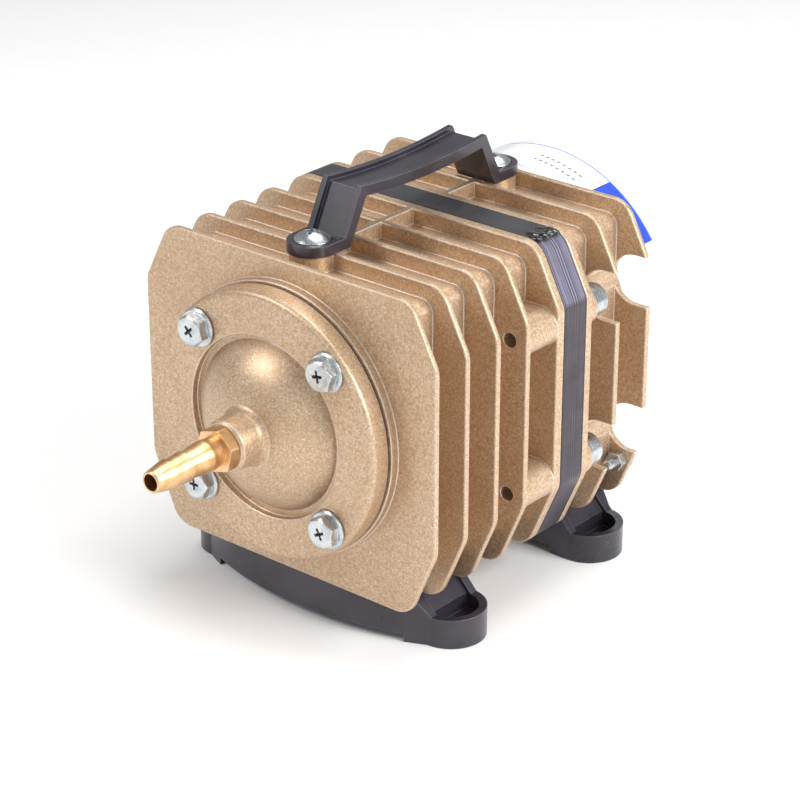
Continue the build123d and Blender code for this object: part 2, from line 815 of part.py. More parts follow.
def pole_frame(x, outer_grow, inner_grow):
    """A rectangular ring round a stator pole, in the plane at x."""
    plane = Plane(origin=(x, STATOR_MID_Y, AXIS_Z), x_dir=(0, 1, 0), z_dir=(1, 0, 0))
    with BuildSketch(plane) as sketch:
        RectangleRounded(
            STATOR_DEEP + 2 * outer_grow, 2 * (POLE_HALF + outer_grow), BOBBIN_CORNER
        )
        Rectangle(
            STATOR_DEEP + 2 * inner_grow, 2 * (POLE_HALF + inner_grow), mode=Mode.SUBTRACT
        )
    return sketch.sketch


for side, side_name in ((-1, "left"), (1, "right")):
    inner_x = side * BOBBIN_IN
    bobbin_long = side * (BOBBIN_OUT - BOBBIN_IN)
    with BuildPart() as bobbin:
        extrude(pole_frame(inner_x, BOBBIN_WALL, BOBBIN_PLAY), amount=bobbin_long)
        extrude(pole_frame(inner_x, COIL_THICK, BOBBIN_PLAY), amount=side * BOBBIN_WALL)
        extrude(
            pole_frame(side * BOBBIN_OUT, COIL_THICK, BOBBIN_PLAY), amount=-side * BOBBIN_WALL
        )
    save(bobbin, f"bobbin_{side_name}")
    with BuildPart() as coil:
        extrude(
            pole_frame(inner_x + side * BOBBIN_WALL, COIL_THICK - COIL_SET_IN, BOBBIN_WALL),
            amount=bobbin_long - 2 * side * BOBBIN_WALL,
        )
    save(coil, f"coil_{side_name}")

# ---------------------------------------------------------------- rear housing

EARTH_PLACE = [(EARTH_X, EARTH_Z)]
POSTS = [(-POST_X, 0), (POST_X, 0)]


with BuildPart() as rear_housing:
    extrude(octagon(STATOR_REAR), amount=STATOR_REAR - REAR_FLANGE_END)
    for fin_depth in REAR_FINS:
        extrude(octagon(fin_depth), amount=-FIN)
    rear_rims = rear_housing.edges().filter_by(lambda edge: abs(edge.tangent_at(0.5).Y) < 0.5)
    fillet(rear_rims, FIN_ROUND)
    extrude(square(STATOR_REAR, BARREL_HALF, BARREL_CORNER), amount=STATOR_REAR - REAR_END)
    add(top_rib(REAR_FLANGE_END - 1, REAR_FINS[1]))
    add(top_boss(HANDLE_SCREWS[1]))
    add(bottom_bosses(REAR_FOOT_SCREWS))
    # both plates are notched about the bolts, and the heads sit on round pads
    notch_out = PLATE_HALF + ROOT_LAP - BOLT_NOTCH_X
    with BuildSketch(section(REAR_FLANGE_END)):
        with Locations(*beside_bolts(BOLT_NOTCH_X)):
            Circle(BOLT_NOTCH_R)
        with Locations(*beside_bolts(BOLT_NOTCH_X + notch_out / 2)):
            Rectangle(notch_out, 2 * BOLT_NOTCH_R)
    extrude(amount=REAR_FLANGE_END - REAR_END - ROOT_LAP, mode=Mode.SUBTRACT)
    pad_start = REAR_FLANGE_END - FIN_ROUND
    extrude(disc(pad_start, BOLT_SEAT_R, BOLTS), amount=pad_start - BOLT_SEAT)
    # coil space in front of the bearing wall, air space behind it
    extrude(
        square(STATOR_REAR, CAVITY_HALF, CAVITY_CORNER),
        amount=STATOR_REAR - REAR_WALL_START,
        mode=Mode.SUBTRACT,
    )
    extrude(
        square(REAR_WALL_END, CAVITY_HALF, CAVITY_CORNER),
        amount=REAR_WALL_END - REAR_END,
        mode=Mode.SUBTRACT,
    )
    with BuildSketch(section(REAR_WALL_START)):
        with PolarLocations(VENT_RING, 4, start_angle=45):
            Circle(VENT_R)
    extrude(amount=REAR_WALL_START - REAR_WALL_END, mode=Mode.SUBTRACT)
    extrude(disc(REAR_WALL_START, HUB_OUTER_R), amount=REAR_WALL_START - BUSH_END)
    extrude(disc(REAR_WALL_START, POST_PAD_R, POSTS), amount=REAR_WALL_START - REAR_END)
    extrude(
        disc(REAR_WALL_START, BUSH_R), amount=REAR_WALL_START - BUSH_END, mode=Mode.SUBTRACT
    )
    extrude(
        disc(POST_TAP_START, POST_TAP_R, POSTS),
        amount=POST_TAP_START - REAR_END,
        mode=Mode.SUBTRACT,
    )
    extrude(
        disc(STATOR_REAR, M5_HOLE + LOOSE, BOLTS),
        amount=STATOR_REAR - BOLT_SEAT,
        mode=Mode.SUBTRACT,
    )
    extrude(disc(REAR_FINS[1], M3_HOLE, EARTH_PLACE), amount=-FIN, mode=Mode.SUBTRACT)
    add(handle_screw_hole(HANDLE_SCREWS[1]), mode=Mode.SUBTRACT)
    add(foot_screw_holes(REAR_FOOT_SCREWS), mode=Mode.SUBTRACT)
save(rear_housing, "rear_housing")

with BuildPart() as guide_bush:
    extrude(ring(REAR_WALL_START, BUSH_R, SHAFT_R + RUNNING), amount=REAR_WALL_START - BUSH_END)
save(guide_bush, "guide_bush")

SPRING_WASHER_START = BOLT_SEAT + WASHER_HIGH
HEAD_START = SPRING_WASHER_START + SPRING_WASHER_HIGH
THROUGH_BOLT = pan_screw(BOLT_HEAD_R, BOLT_HEAD_HIGH, M5_SHANK, HEAD_START - BOLT_END, 0.8)

with BuildPart() as through_bolts:
    for turn, (bolt_x, bolt_z) in zip((8, 35, 61, 22), BOLTS):
        seat = Location(seen_from_rear(HEAD_START))
        add(THROUGH_BOLT.moved(seat * Location((-bolt_x, bolt_z, 0), (0, 0, turn))))
save(through_bolts, "through_bolts")

with BuildPart() as bolt_washers:
    extrude(ring(BOLT_SEAT, WASHER_R, M5_HOLE, BOLTS), amount=-WASHER_HIGH)
save(bolt_washers, "bolt_washers")

with BuildPart() as bolt_spring_washers:
    with BuildSketch(section(SPRING_WASHER_START)):
        with Locations(*BOLTS):
            Circle(SPRING_WASHER_R)
            Circle(M5_HOLE, mode=Mode.SUBTRACT)
        with Locations(*[(x, z + SPRING_WASHER_R / 2) for x, z in BOLTS]):
            Rectangle(SPRING_WASHER_SLIT, SPRING_WASHER_R, mode=Mode.SUBTRACT)
    extrude(amount=-SPRING_WASHER_HIGH)
save(bolt_spring_washers, "bolt_spring_washers")

# ---------------------------------------------------------------- earth terminal

with BuildPart() as earth_screw:
    earth_seat = Location(seen_from_rear(REAR_END + EARTH_WASHER_HIGH))
    add(pan_screw(EARTH_HEAD_R, EARTH_HEAD_HIGH, M3_SHANK, EARTH_SCREW_LONG).moved(
        earth_seat * Location((-EARTH_X, EARTH_Z, 0), (0, 0, 30))
    ))
save(earth_screw, "earth_screw")

with BuildPart() as earth_washer:
    extrude(ring(REAR_END, EARTH_WASHER_R, M3_HOLE, EARTH_PLACE), amount=-EARTH_WASHER_HIGH)
save(earth_washer, "earth_washer")

with BuildPart() as earth_nut:
    with BuildSketch(section(REAR_FINS[1] - EARTH_NUT_HIGH)):
        with Locations((EARTH_X, EARTH_Z)):
            RegularPolygon(EARTH_NUT_HALF, 6, major_radius=False)
            Circle(M3_HOLE, mode=Mode.SUBTRACT)
    extrude(amount=-EARTH_NUT_HIGH)
save(earth_nut, "earth_nut")

# ---------------------------------------------------------------- handle

HANDLE_MID = sum(HANDLE_SCREWS) / 2
HANDLE_REACH = (HANDLE_SCREWS[1] - HANDLE_SCREWS[0]) / 2
PAD_TOP = PLATE_TOP + HANDLE_THICK
GRIP_TOP = PLATE_TOP + HANDLE_TOP


def handle_band(half_width, thick):
    """The handle's folded band: from its outer line down by thick, from pad end to pad end."""
    pad_end = HANDLE_REACH + 2 * HANDLE_HALF
    leg_foot = HANDLE_REACH - LEG_FOOT
    leg_head = HANDLE_REACH - LEG_HEAD
    line = [(pad_end, PAD_TOP), (leg_foot, PAD_TOP), (leg_head, GRIP_TOP)]
    front = [(HANDLE_MID - reach, height) for reach, height in line]
    back = [(HANDLE_MID + reach, height) for reach, height in reversed(line)]
    with BuildSketch(LENGTHWISE) as sketch:
        with BuildLine():
            Polyline(*front)
            ThreePointArc(front[-1], (HANDLE_MID, GRIP_TOP - HANDLE_SAG), back[0])
            Polyline(*back)
            offset(amount=thick, kind=Kind.INTERSECTION, side=Side.RIGHT)
        make_face()
    return extrude(sketch.sketch, amount=half_width, both=True, mode=Mode.PRIVATE)


def stadium(radius):
    """Plan of the handle: straight sides with a half round at each screw."""
    with BuildSketch(Plane.XY.offset(AXIS_Z + PLATE_TOP)) as sketch:
        with Locations((0, FRONT_Y + HANDLE_MID)):
            SlotCenterToCenter(2 * HANDLE_REACH, 2 * radius, rotation=90)
    return extrude(sketch.sketch, amount=2 * HANDLE_TOP, mode=Mode.PRIVATE)


with BuildPart() as handle_channel:
    add(handle_band(HANDLE_HALF - HANDLE_RIM, HANDLE_RECESS))
    add(stadium(HANDLE_HALF - HANDLE_RIM), mode=Mode.INTERSECT)

with BuildPart() as handle:
    add(handle_band(HANDLE_HALF, HANDLE_THICK))
    add(stadium(HANDLE_HALF), mode=Mode.INTERSECT)
    add(handle_channel.part, mode=Mode.SUBTRACT)
    add(
        upright_holes(
            AXIS_Z + PLATE_TOP,
            M5_HOLE,
            HANDLE_THICK,
            [(0, FRONT_Y + depth) for depth in HANDLE_SCREWS],
        ),
        mode=Mode.SUBTRACT,
    )
save(handle, "handle")

HANDLE_SCREW = pan_screw(
    HANDLE_HEAD_R, HANDLE_HEAD_HIGH, M5_SHANK, BOSS_TAP + HANDLE_THICK - HANDLE_RECESS
)

with BuildPart() as handle_screws:
    for turn, screw_depth in zip((20, 50), HANDLE_SCREWS):
        seat = Location(
            (0, FRONT_Y + screw_depth, AXIS_Z + PAD_TOP - HANDLE_RECESS), (0, 0, turn)
        )
        add(HANDLE_SCREW.moved(seat))
save(handle_screws, "handle_screws")

# ---------------------------------------------------------------- foot bars

FOOT_TOP = AXIS_Z + PLATE_BOTTOM
FOOT_INNER_Y = -FOOT_ROW + CUP_R
FOOT_OUTER_Y = -FOOT_ROW - CUP_R
FAR_X = CUP_X + 2 * CUP_R
FRONT_VIEW = Plane(origin=(0, 0, 0), x_dir=(1, 0, 0), z_dir=(0, -1, 0))

with BuildPart() as foot_bar:
    # plan: two round cups joined by a bar whose outer edge bows outwards
    with BuildSketch(Plane.XY):
        with BuildLine():
            Line((CUP_X, FOOT_INNER_Y), (-CUP_X, FOOT_INNER_Y))
            Line((-CUP_X, FOOT_INNER_Y), (-CUP_X, FOOT_OUTER_Y))
            ThreePointArc((-CUP_X, FOOT_OUTER_Y), (0, -FOOT_BOW), (CUP_X, FOOT_OUTER_Y))
            Line((CUP_X, FOOT_OUTER_Y), (CUP_X, FOOT_INNER_Y))
        make_face()
        with Locations((-CUP_X, -FOOT_ROW), (CUP_X, -FOOT_ROW)):
            Circle(CUP_R)
    extrude(amount=FOOT_TOP)
    # front view: level top, sloping arms, low cups, and an underside that rises between the cups
    with BuildSketch(FRONT_VIEW):
        with BuildLine():
            Polyline(
                (-PAD_INNER_X, PAD_STEP),
                (-PAD_INNER_X, 0),
                (-FAR_X, 0),
                (-FAR_X, CUP_HIGH),
                (-ARM_END_X, CUP_HIGH),
                (-ARM_TOP_X, FOOT_TOP),
                (ARM_TOP_X, FOOT_TOP),
                (ARM_END_X, CUP_HIGH),
                (FAR_X, CUP_HIGH),
                (FAR_X, 0),
                (PAD_INNER_X, 0),
                (PAD_INNER_X, PAD_STEP),
            )
            ThreePointArc((PAD_INNER_X, PAD_STEP), (0, ARCH_HIGH), (-PAD_INNER_X, PAD_STEP))
        make_face()
    extrude(amount=FOOT_BOW + CUP_R, mode=Mode.INTERSECT)
    for end in (-1, 1):
        # pocket in the cup, then the recess over the sloping web
        with BuildSketch(Plane.XY.offset(CUP_FLOOR)):
            with Locations((end * CUP_POCKET_X, -FOOT_ROW)):
                Circle(CUP_POCKET_R)
            with Locations((end * (WEB_END_X - CUP_R), -FOOT_ROW)):
                Rectangle(2 * CUP_R, 2 * CUP_R, mode=Mode.SUBTRACT)
        extrude(amount=CUP_HIGH, mode=Mode.SUBTRACT)
        slope = (FOOT_TOP - CUP_HIGH) / (ARM_END_X - ARM_TOP_X)
        web_top_x = ARM_TOP_X - WEB_DROP / slope - WEB_SET_IN
        web_low_z = FOOT_TOP - (WEB_END_X - web_top_x) * slope
        with BuildSketch(FRONT_VIEW.offset(FOOT_ROW - CUP_POCKET_R)):
            with BuildLine():
                Polyline(
                    (end * web_top_x, FOOT_TOP),
                    (end * WEB_END_X, web_low_z),
                    (end * CUP_POCKET_X, web_low_z),
                    (end * CUP_POCKET_X, FOOT_TOP),
                    close=True,
                )
            make_face()
        extrude(amount=2 * CUP_POCKET_R, mode=Mode.SUBTRACT)
    add(
        upright_holes(
            0, FOOT_HOLE_R, CUP_FLOOR, [(-FOOT_HOLE_X, -FOOT_ROW), (FOOT_HOLE_X, -FOOT_ROW)]
        ),
        mode=Mode.SUBTRACT,
    )
    add(upright_holes(0, M4_HOLE + LOOSE, FOOT_TOP, FRONT_FOOT_SCREWS), mode=Mode.SUBTRACT)
    add(upright_holes(0, FOOT_WELL_R, FOOT_WELL_TOP, FRONT_FOOT_SCREWS), mode=Mode.SUBTRACT)

with BuildPart() as front_foot:
    add(foot_bar.part)
save(front_foot, "front_foot")

with BuildPart() as rear_foot:
    add(foot_bar.part.rotate(Axis.Z, 180))
save(rear_foot, "rear_foot")

FOOT_SCREW = pan_screw(
    FOOT_HEAD_R, FOOT_HEAD_HIGH, M4_SHANK, BOSS_TAP + FOOT_TOP - FOOT_WELL_TOP
)

with BuildPart() as foot_screws:
    for foot_x, foot_y in FRONT_FOOT_SCREWS + REAR_FOOT_SCREWS:
        add(FOOT_SCREW.moved(Location((foot_x, foot_y, FOOT_WELL_TOP), (180, 0, 0))))
save(foot_screws, "foot_screws")

# ---------------------------------------------------------------- rear cap

CAP_INNER_R = CAP_R - CAP_WALL
CAP_FLOOR = CAP_END - CAP_WALL
GROMMET_PLACE = [(0, GROMMET_Z)]


def cap_outline(radius, end, shoulder):
    """Half outline of a shallow cup from the rear plate to its flat rear face."""
    turn = radians(45)
    centre = (end - shoulder, radius - shoulder)
    arc_mid = (centre[0] + shoulder * sin(turn), centre[1] + shoulder * cos(turn))
    with BuildSketch(LENGTHWISE) as sketch:
        with BuildLine():
            Line((REAR_END, 0), (REAR_END, radius))
            Line((REAR_END, radius), (centre[0], radius))
            ThreePointArc((centre[0], radius), arc_mid, (end, centre[1]))
            Line((end, centre[1]), (end, 0))
            Line((end, 0), (REAR_END, 0))
        make_face()
    return sketch.sketch


with BuildPart() as rear_cap:
    revolve(cap_outline(CAP_R, CAP_END, CAP_SHOULDER), axis=PUMP_AXIS)
    revolve(
        cap_outline(CAP_INNER_R, CAP_FLOOR, CAP_SHOULDER - CAP_WALL),
        axis=PUMP_AXIS,
        mode=Mode.SUBTRACT,
    )
    extrude(disc(REAR_END, POST_R, POSTS), amount=REAR_END - CAP_FLOOR - CAP_WALL / 2)
    extrude(disc(REAR_END + POST_FLOOR, WELL_R, POSTS), amount=-CAP_END, mode=Mode.SUBTRACT)
    extrude(disc(REAR_END, CAP_HOLE_R, POSTS), amount=-POST_FLOOR, mode=Mode.SUBTRACT)
    # air inlet: a fan of slots in the rear face
    with BuildSketch(section(SPONGE_END)):
        with PolarLocations(SLOT_RING, 8, start_angle=22.5):
            SlotCenterToCenter(*SLOT_SIZE)
    extrude(amount=SPONGE_END - CAP_END, mode=Mode.SUBTRACT)
    extrude(
        disc(SPONGE_END, GROMMET_R, GROMMET_PLACE),
        amount=SPONGE_END - CAP_END,
        mode=Mode.SUBTRACT,
    )
save(rear_cap, "rear_cap")

label_start = radians(LABEL_FROM)
LABEL_PLANE = Plane(
    origin=(0, FRONT_Y, AXIS_Z), x_dir=(0, 1, 0), z_dir=(cos(label_start), 0, -sin(label_start))
)

with BuildPart() as cap_label:
    with BuildSketch(LABEL_PLANE):
        with Locations(((LABEL_START + LABEL_END) / 2, CAP_R + LABEL_THICK / 2)):
            Rectangle(LABEL_END - LABEL_START, LABEL_THICK)
    revolve(axis=PUMP_AXIS, revolution_arc=LABEL_TO - LABEL_FROM)
save(cap_label, "cap_label")

CAP_SCREW = pan_screw(CAP_HEAD_R, CAP_HEAD_HIGH, M3_SHANK, CAP_SCREW_LONG)

with BuildPart() as cap_screws:
    for turn, (post_x, post_z) in zip((15, 70), POSTS):
        seat = Location(seen_from_rear(REAR_END + POST_FLOOR))
        add(CAP_SCREW.moved(seat * Location((-post_x, post_z, 0), (0, 0, turn))))
save(cap_screws, "cap_screws")

with BuildPart() as filter_sponge:
    extrude(disc(SPONGE_START, SPONGE_R), amount=SPONGE_START - SPONGE_END)
    extrude(disc(SPONGE_START, POST_R, POSTS), amount=SPONGE_START - SPONGE_END, mode=Mode.SUBTRACT)
    extrude(
        disc(SPONGE_START, GROMMET_R + SPONGE_PLAY, GROMMET_PLACE),
        amount=SPONGE_START - SPONGE_END,
        mode=Mode.SUBTRACT,
    )
save(filter_sponge, "filter_sponge")

with BuildPart() as cable_grommet:
    extrude(
        disc(GROMMET_START, GROMMET_R - SEAT_CLEARANCE, GROMMET_PLACE),
        amount=GROMMET_START - CAP_END - GROMMET_FLANGE,
    )
    extrude(disc(CAP_END, GROMMET_FLANGE_R, GROMMET_PLACE), amount=-GROMMET_FLANGE)
    fillet(cable_grommet.faces().sort_by(Axis.Y)[-1].edges(), GROMMET_ROUND)
    extrude(
        disc(GROMMET_START, CABLE_R, GROMMET_PLACE),
        amount=GROMMET_START - CAP_END - GROMMET_FLANGE,
        mode=Mode.SUBTRACT,
    )
save(cable_grommet, "cable_grommet")
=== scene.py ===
"""Finishes and soft parts of an electromagnetic piston air pump for ponds and aquariums.

The castings, the air end, the drive, the carrying parts and the rear cap are each one sub-assembly below.
All lengths are metres in the pump's own frame: Z up, the outlet towards -Y, the axis of the pump along Y.
"""
import logging
import math
from abc import ABC, abstractmethod
from collections.abc import Callable, Mapping, Sequence
from dataclasses import dataclass, field
from enum import Enum
from typing import Any

import bmesh
import bpy
from mathutils import Matrix, Vector, noise


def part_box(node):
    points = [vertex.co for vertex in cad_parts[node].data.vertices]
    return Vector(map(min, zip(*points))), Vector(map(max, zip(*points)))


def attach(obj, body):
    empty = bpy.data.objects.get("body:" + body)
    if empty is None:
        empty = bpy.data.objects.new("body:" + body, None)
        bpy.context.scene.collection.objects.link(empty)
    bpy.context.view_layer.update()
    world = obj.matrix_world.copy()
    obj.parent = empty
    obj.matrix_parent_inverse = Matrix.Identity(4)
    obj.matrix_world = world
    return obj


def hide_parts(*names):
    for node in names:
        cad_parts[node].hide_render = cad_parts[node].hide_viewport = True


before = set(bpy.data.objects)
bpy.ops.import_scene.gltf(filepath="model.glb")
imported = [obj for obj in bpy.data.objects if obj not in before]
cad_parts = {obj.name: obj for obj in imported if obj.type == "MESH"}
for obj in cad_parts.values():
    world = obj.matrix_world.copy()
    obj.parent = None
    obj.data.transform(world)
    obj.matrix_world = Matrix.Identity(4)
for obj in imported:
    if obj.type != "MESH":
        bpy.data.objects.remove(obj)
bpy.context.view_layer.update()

LOG = logging.getLogger("air_pump")
MM = 0.001
MERGE = 0.001 * MM
SHARP_ANGLE = math.radians(30)
BEVEL_SAMPLES = 4
RIM_START = 0.995
RIM_FULL = 0.86
DROP_SEGMENTS = 32
MIXED = 2  # the number of a ShaderNodeMix's colour output

Colour = tuple[float, float, float, float]
Node = bpy.types.Node
Output = tuple[Node, str | int]
Tree = bpy.types.NodeTree
Piece = bpy.types.Object


class Body(str, Enum):
    """The body that the new pieces ride on."""

    PUMP = "pump_body"


class Slot(str, Enum):
    """The record's material slots, one named for each kind of new piece."""

    CORE = "electrical_steel"
    WINDING = "copper_winding"
    SPONGE = "filter_foam"


class Lay(Enum):
    """Which way the fine marks of a metal surface run, as a stretch of the pattern along X, Y and Z."""

    NONE = (1.0, 1.0, 1.0)
    TURNED = (0.04, 1.0, 0.04)
    WOUND = (1.0, 0.06, 0.06)


class Side(Enum):
    """The two sides of the pump, seen from the outlet."""

    LEFT = "left"
    RIGHT = "right"


# ---------------------------------------------------------------- material building


def linear(code: str) -> Colour:
    """Turns an sRGB hex colour into the linear colour that a shader takes.

    Args:
        code: Six hex digits, with or without a leading #.

    Returns:
        Red, green and blue in linear light, with an alpha of 1.
    """
    digits = code.lstrip("#")
    levels = [int(digits[at:at + 2], 16) / 255 for at in (0, 2, 4)]
    red, green, blue = (v / 12.92 if v <= 0.04045 else ((v + 0.055) / 1.055) ** 2.4 for v in levels)
    return red, green, blue, 1.0


def per_metre(size_mm: float) -> float:
    """Returns the pattern scale that gives features of size_mm."""
    return 1 / (size_mm * MM)


def add_node(
    tree: Tree,
    kind: str,
    settings: Mapping[str | int, Any] | None = None,
    links: Mapping[str | int, Output] | None = None,
) -> Node:
    """Adds one node to a material, with its settings and links.

    Args:
        tree: The material's nodes.
        kind: The node's type, such as ShaderNodeTexNoise.
        settings: Values by name or number. A socket's name or number sets that socket, another name the node.
        links: For each socket that is fed, the node and output that feed it.

    Returns:
        The new node.
    """
    node = tree.nodes.new(kind)
    for key, value in (settings or {}).items():
        if isinstance(key, int) or key in node.inputs:
            node.inputs[key].default_value = value
        else:
            setattr(node, key, value)
    for key, (source, output) in (links or {}).items():
        tree.links.new(source.outputs[output], node.inputs[key])
    return node


def stretched_place(tree: Tree, lay: Lay) -> Output:
    """Object coordinates, pulled out along the lay of a surface.

    Args:
        tree: The material's nodes.
        lay: The way the marks run.

    Returns:
        The node and output to link to a pattern's Vector.
    """
    place = add_node(tree, "ShaderNodeTexCoord")
    if lay is Lay.NONE:
        return place, "Object"
    return add_node(tree, "ShaderNodeMapping", {"Scale": lay.value}, {"Vector": (place, "Object")}), "Vector"


def spread(tree: Tree, source: Output, low: float, high: float, to: tuple[float, float]) -> Node:
    """Stretches the part of a value between low and high over the range to.

    Args:
        tree: The material's nodes.
        source: The node and output that give the value.
        low: The value that becomes to[0].
        high: The value that becomes to[1].
        to: The range of the result.

    Returns:
        The node whose Result is the stretched value.
    """
    settings = {"From Min": low, "From Max": high, "To Min": to[0], "To Max": to[1]}
    return add_node(tree, "ShaderNodeMapRange", settings, {"Value": source})


def blend_colours(tree: Tree, share: Output, first: Colour | Output, second: Colour | Output) -> Node:
    """Mixes two colours, each a fixed colour or the node and output that give one.

    Args:
        tree: The material's nodes.
        share: The node and output that say how much of the second there is.
        first: The colour at 0.
        second: The colour at 1.

    Returns:
        The node whose output MIXED is the mixed colour.
    """
    settings: dict[str | int, Any] = {"data_type": "RGBA"}
    links: dict[str | int, Output] = {0: share}
    for socket, colour in ((6, first), (7, second)):
        if isinstance(colour[0], bpy.types.Node):
            links[socket] = colour
        else:
            settings[socket] = colour
    return add_node(tree, "ShaderNodeMix", settings, links)


def soft_edges(tree: Tree, radius_mm: float) -> tuple[Node, Node]:
    """Rounds the look of sharp edges, and finds them.

    Args:
        tree: The material's nodes.
        radius_mm: The radius that the edges seem to have.

    Returns:
        The node whose Normal is rounded, and the node whose Result is 1 on the edges and 0 away from them.
    """
    rounded = add_node(tree, "ShaderNodeBevel", {"samples": BEVEL_SAMPLES, "Radius": radius_mm * MM})
    plain = add_node(tree, "ShaderNodeNewGeometry")
    likeness = add_node(
        tree,
        "ShaderNodeVectorMath",
        {"operation": "DOT_PRODUCT"},
        {0: (rounded, "Normal"), 1: (plain, "Normal")},
    )
    return rounded, spread(tree, (likeness, "Value"), RIM_START, RIM_FULL, (0.0, 1.0))


@dataclass(frozen=True)
class Finish(ABC):
    """A surface finish, named for the material and how its surface was made."""

    name: str

    def material(self) -> bpy.types.Material:
        """Builds the material the first time, and returns the same one afterwards."""
        made = bpy.data.materials.get(self.name)
        if made is None:
            made = bpy.data.materials.new(self.name)
            made.use_nodes = True
            made.node_tree.nodes.clear()
            shader = add_node(made.node_tree, "ShaderNodeBsdfPrincipled")
            add_node(made.node_tree, "ShaderNodeOutputMaterial", links={"Surface": (shader, "BSDF")})
            self.dress(made.node_tree, shader)
        return made

    @abstractmethod
    def dress(self, tree: Tree, shader: Node) -> None:
        """Adds the nodes of this finish.

        Args:
            tree: The material's nodes.
            shader: Its Principled shader.
        """


@dataclass(frozen=True)
class HammertonePaint(Finish):
    """Metallic stoving paint over die-cast aluminium: a warm satin skin with a fine pebbled grain.

    The flakes are paler specks, partly their own bright metal and partly painted glint; the pale rims of the
    fins are partly thin, worn paint and partly painted highlight.
    """

    light: str = "#D0B9A0"
    dark: str = "#B29270"
    # The rim colour is partly thin, worn paint and partly a painted highlight.
    worn_rim_and_highlight: str = "#FFF3E8"
    # The flake colour is partly the flakes' own metal and partly a painted glint.
    flake_glint: str = "#FFF6E8"
    grain_mm: float = 0.6
    flake_mm: float = 0.3
    cloud_mm: float = 24.0
    edge_mm: float = 0.6
    rim_share: float = 0.92
    metallic: float = 0.6
    roughness: tuple[float, float] = (0.36, 0.5)
    pebble_mm: float = 0.05

    def dress(self, tree: Tree, shader: Node) -> None:
        """Adds grain, flakes partly painted as glints, slow shade changes, rims partly worn and partly painted
        as highlight, and a pebbled bump.

        Args:
            tree: The material's nodes.
            shader: Its Principled shader.
        """
        place = stretched_place(tree, Lay.NONE)
        settings = {"Scale": per_metre(self.grain_mm), "Detail": 3.0, "Roughness": 0.6}
        grain = add_node(tree, "ShaderNodeTexNoise", settings, {"Vector": place})
        cloud_settings = {"Scale": per_metre(self.cloud_mm), "Detail": 2.0}
        cloud = add_node(tree, "ShaderNodeTexNoise", cloud_settings, {"Vector": place})
        flakes = add_node(tree, "ShaderNodeTexVoronoi", {"Scale": per_metre(self.flake_mm)}, {"Vector": place})
        rounded, rims = soft_edges(tree, self.edge_mm)

        mottled = blend_colours(
            tree,
            (spread(tree, (grain, 0), 0.36, 0.64, (0.0, 1.0)), "Result"),
            linear(self.dark),
            linear(self.light),
        )
        clouded = blend_colours(
            tree,
            (spread(tree, (cloud, 0), 0.35, 0.7, (0.0, 0.35)), "Result"),
            (mottled, MIXED),
            linear(self.dark),
        )
        # Pale flake specks: partly the flakes' own bright metal, partly a painted glint.
        glinting = blend_colours(
            tree,
            (spread(tree, (flakes, "Color"), 0.72, 0.95, (0.0, 0.4)), "Result"),
            (clouded, MIXED),
            linear(self.flake_glint),
        )
        # Pale rims: partly worn paint, partly a painted highlight of the lights to the right and above.
        settings = {"operation": "MULTIPLY", 1: self.rim_share}
        rim_wear_and_highlight = add_node(tree, "ShaderNodeMath", settings, {0: (rims, "Result")})
        rims_worn_and_highlighted = blend_colours(tree, (rim_wear_and_highlight, 0), (glinting, MIXED), linear(self.worn_rim_and_highlight))
        rough = spread(tree, (grain, 0), 0.3, 0.7, self.roughness)
        bump_settings = {"Strength": 0.55, "Distance": self.pebble_mm * MM}
        bump_links = {"Height": (grain, 0), "Normal": (rounded, "Normal")}
        bump = add_node(tree, "ShaderNodeBump", bump_settings, bump_links)

        shader.inputs["Metallic"].default_value = self.metallic
        tree.links.new(rims_worn_and_highlighted.outputs[MIXED], shader.inputs["Base Color"])
        tree.links.new(rough.outputs["Result"], shader.inputs["Roughness"])
        tree.links.new(bump.outputs["Normal"], shader.inputs["Normal"])


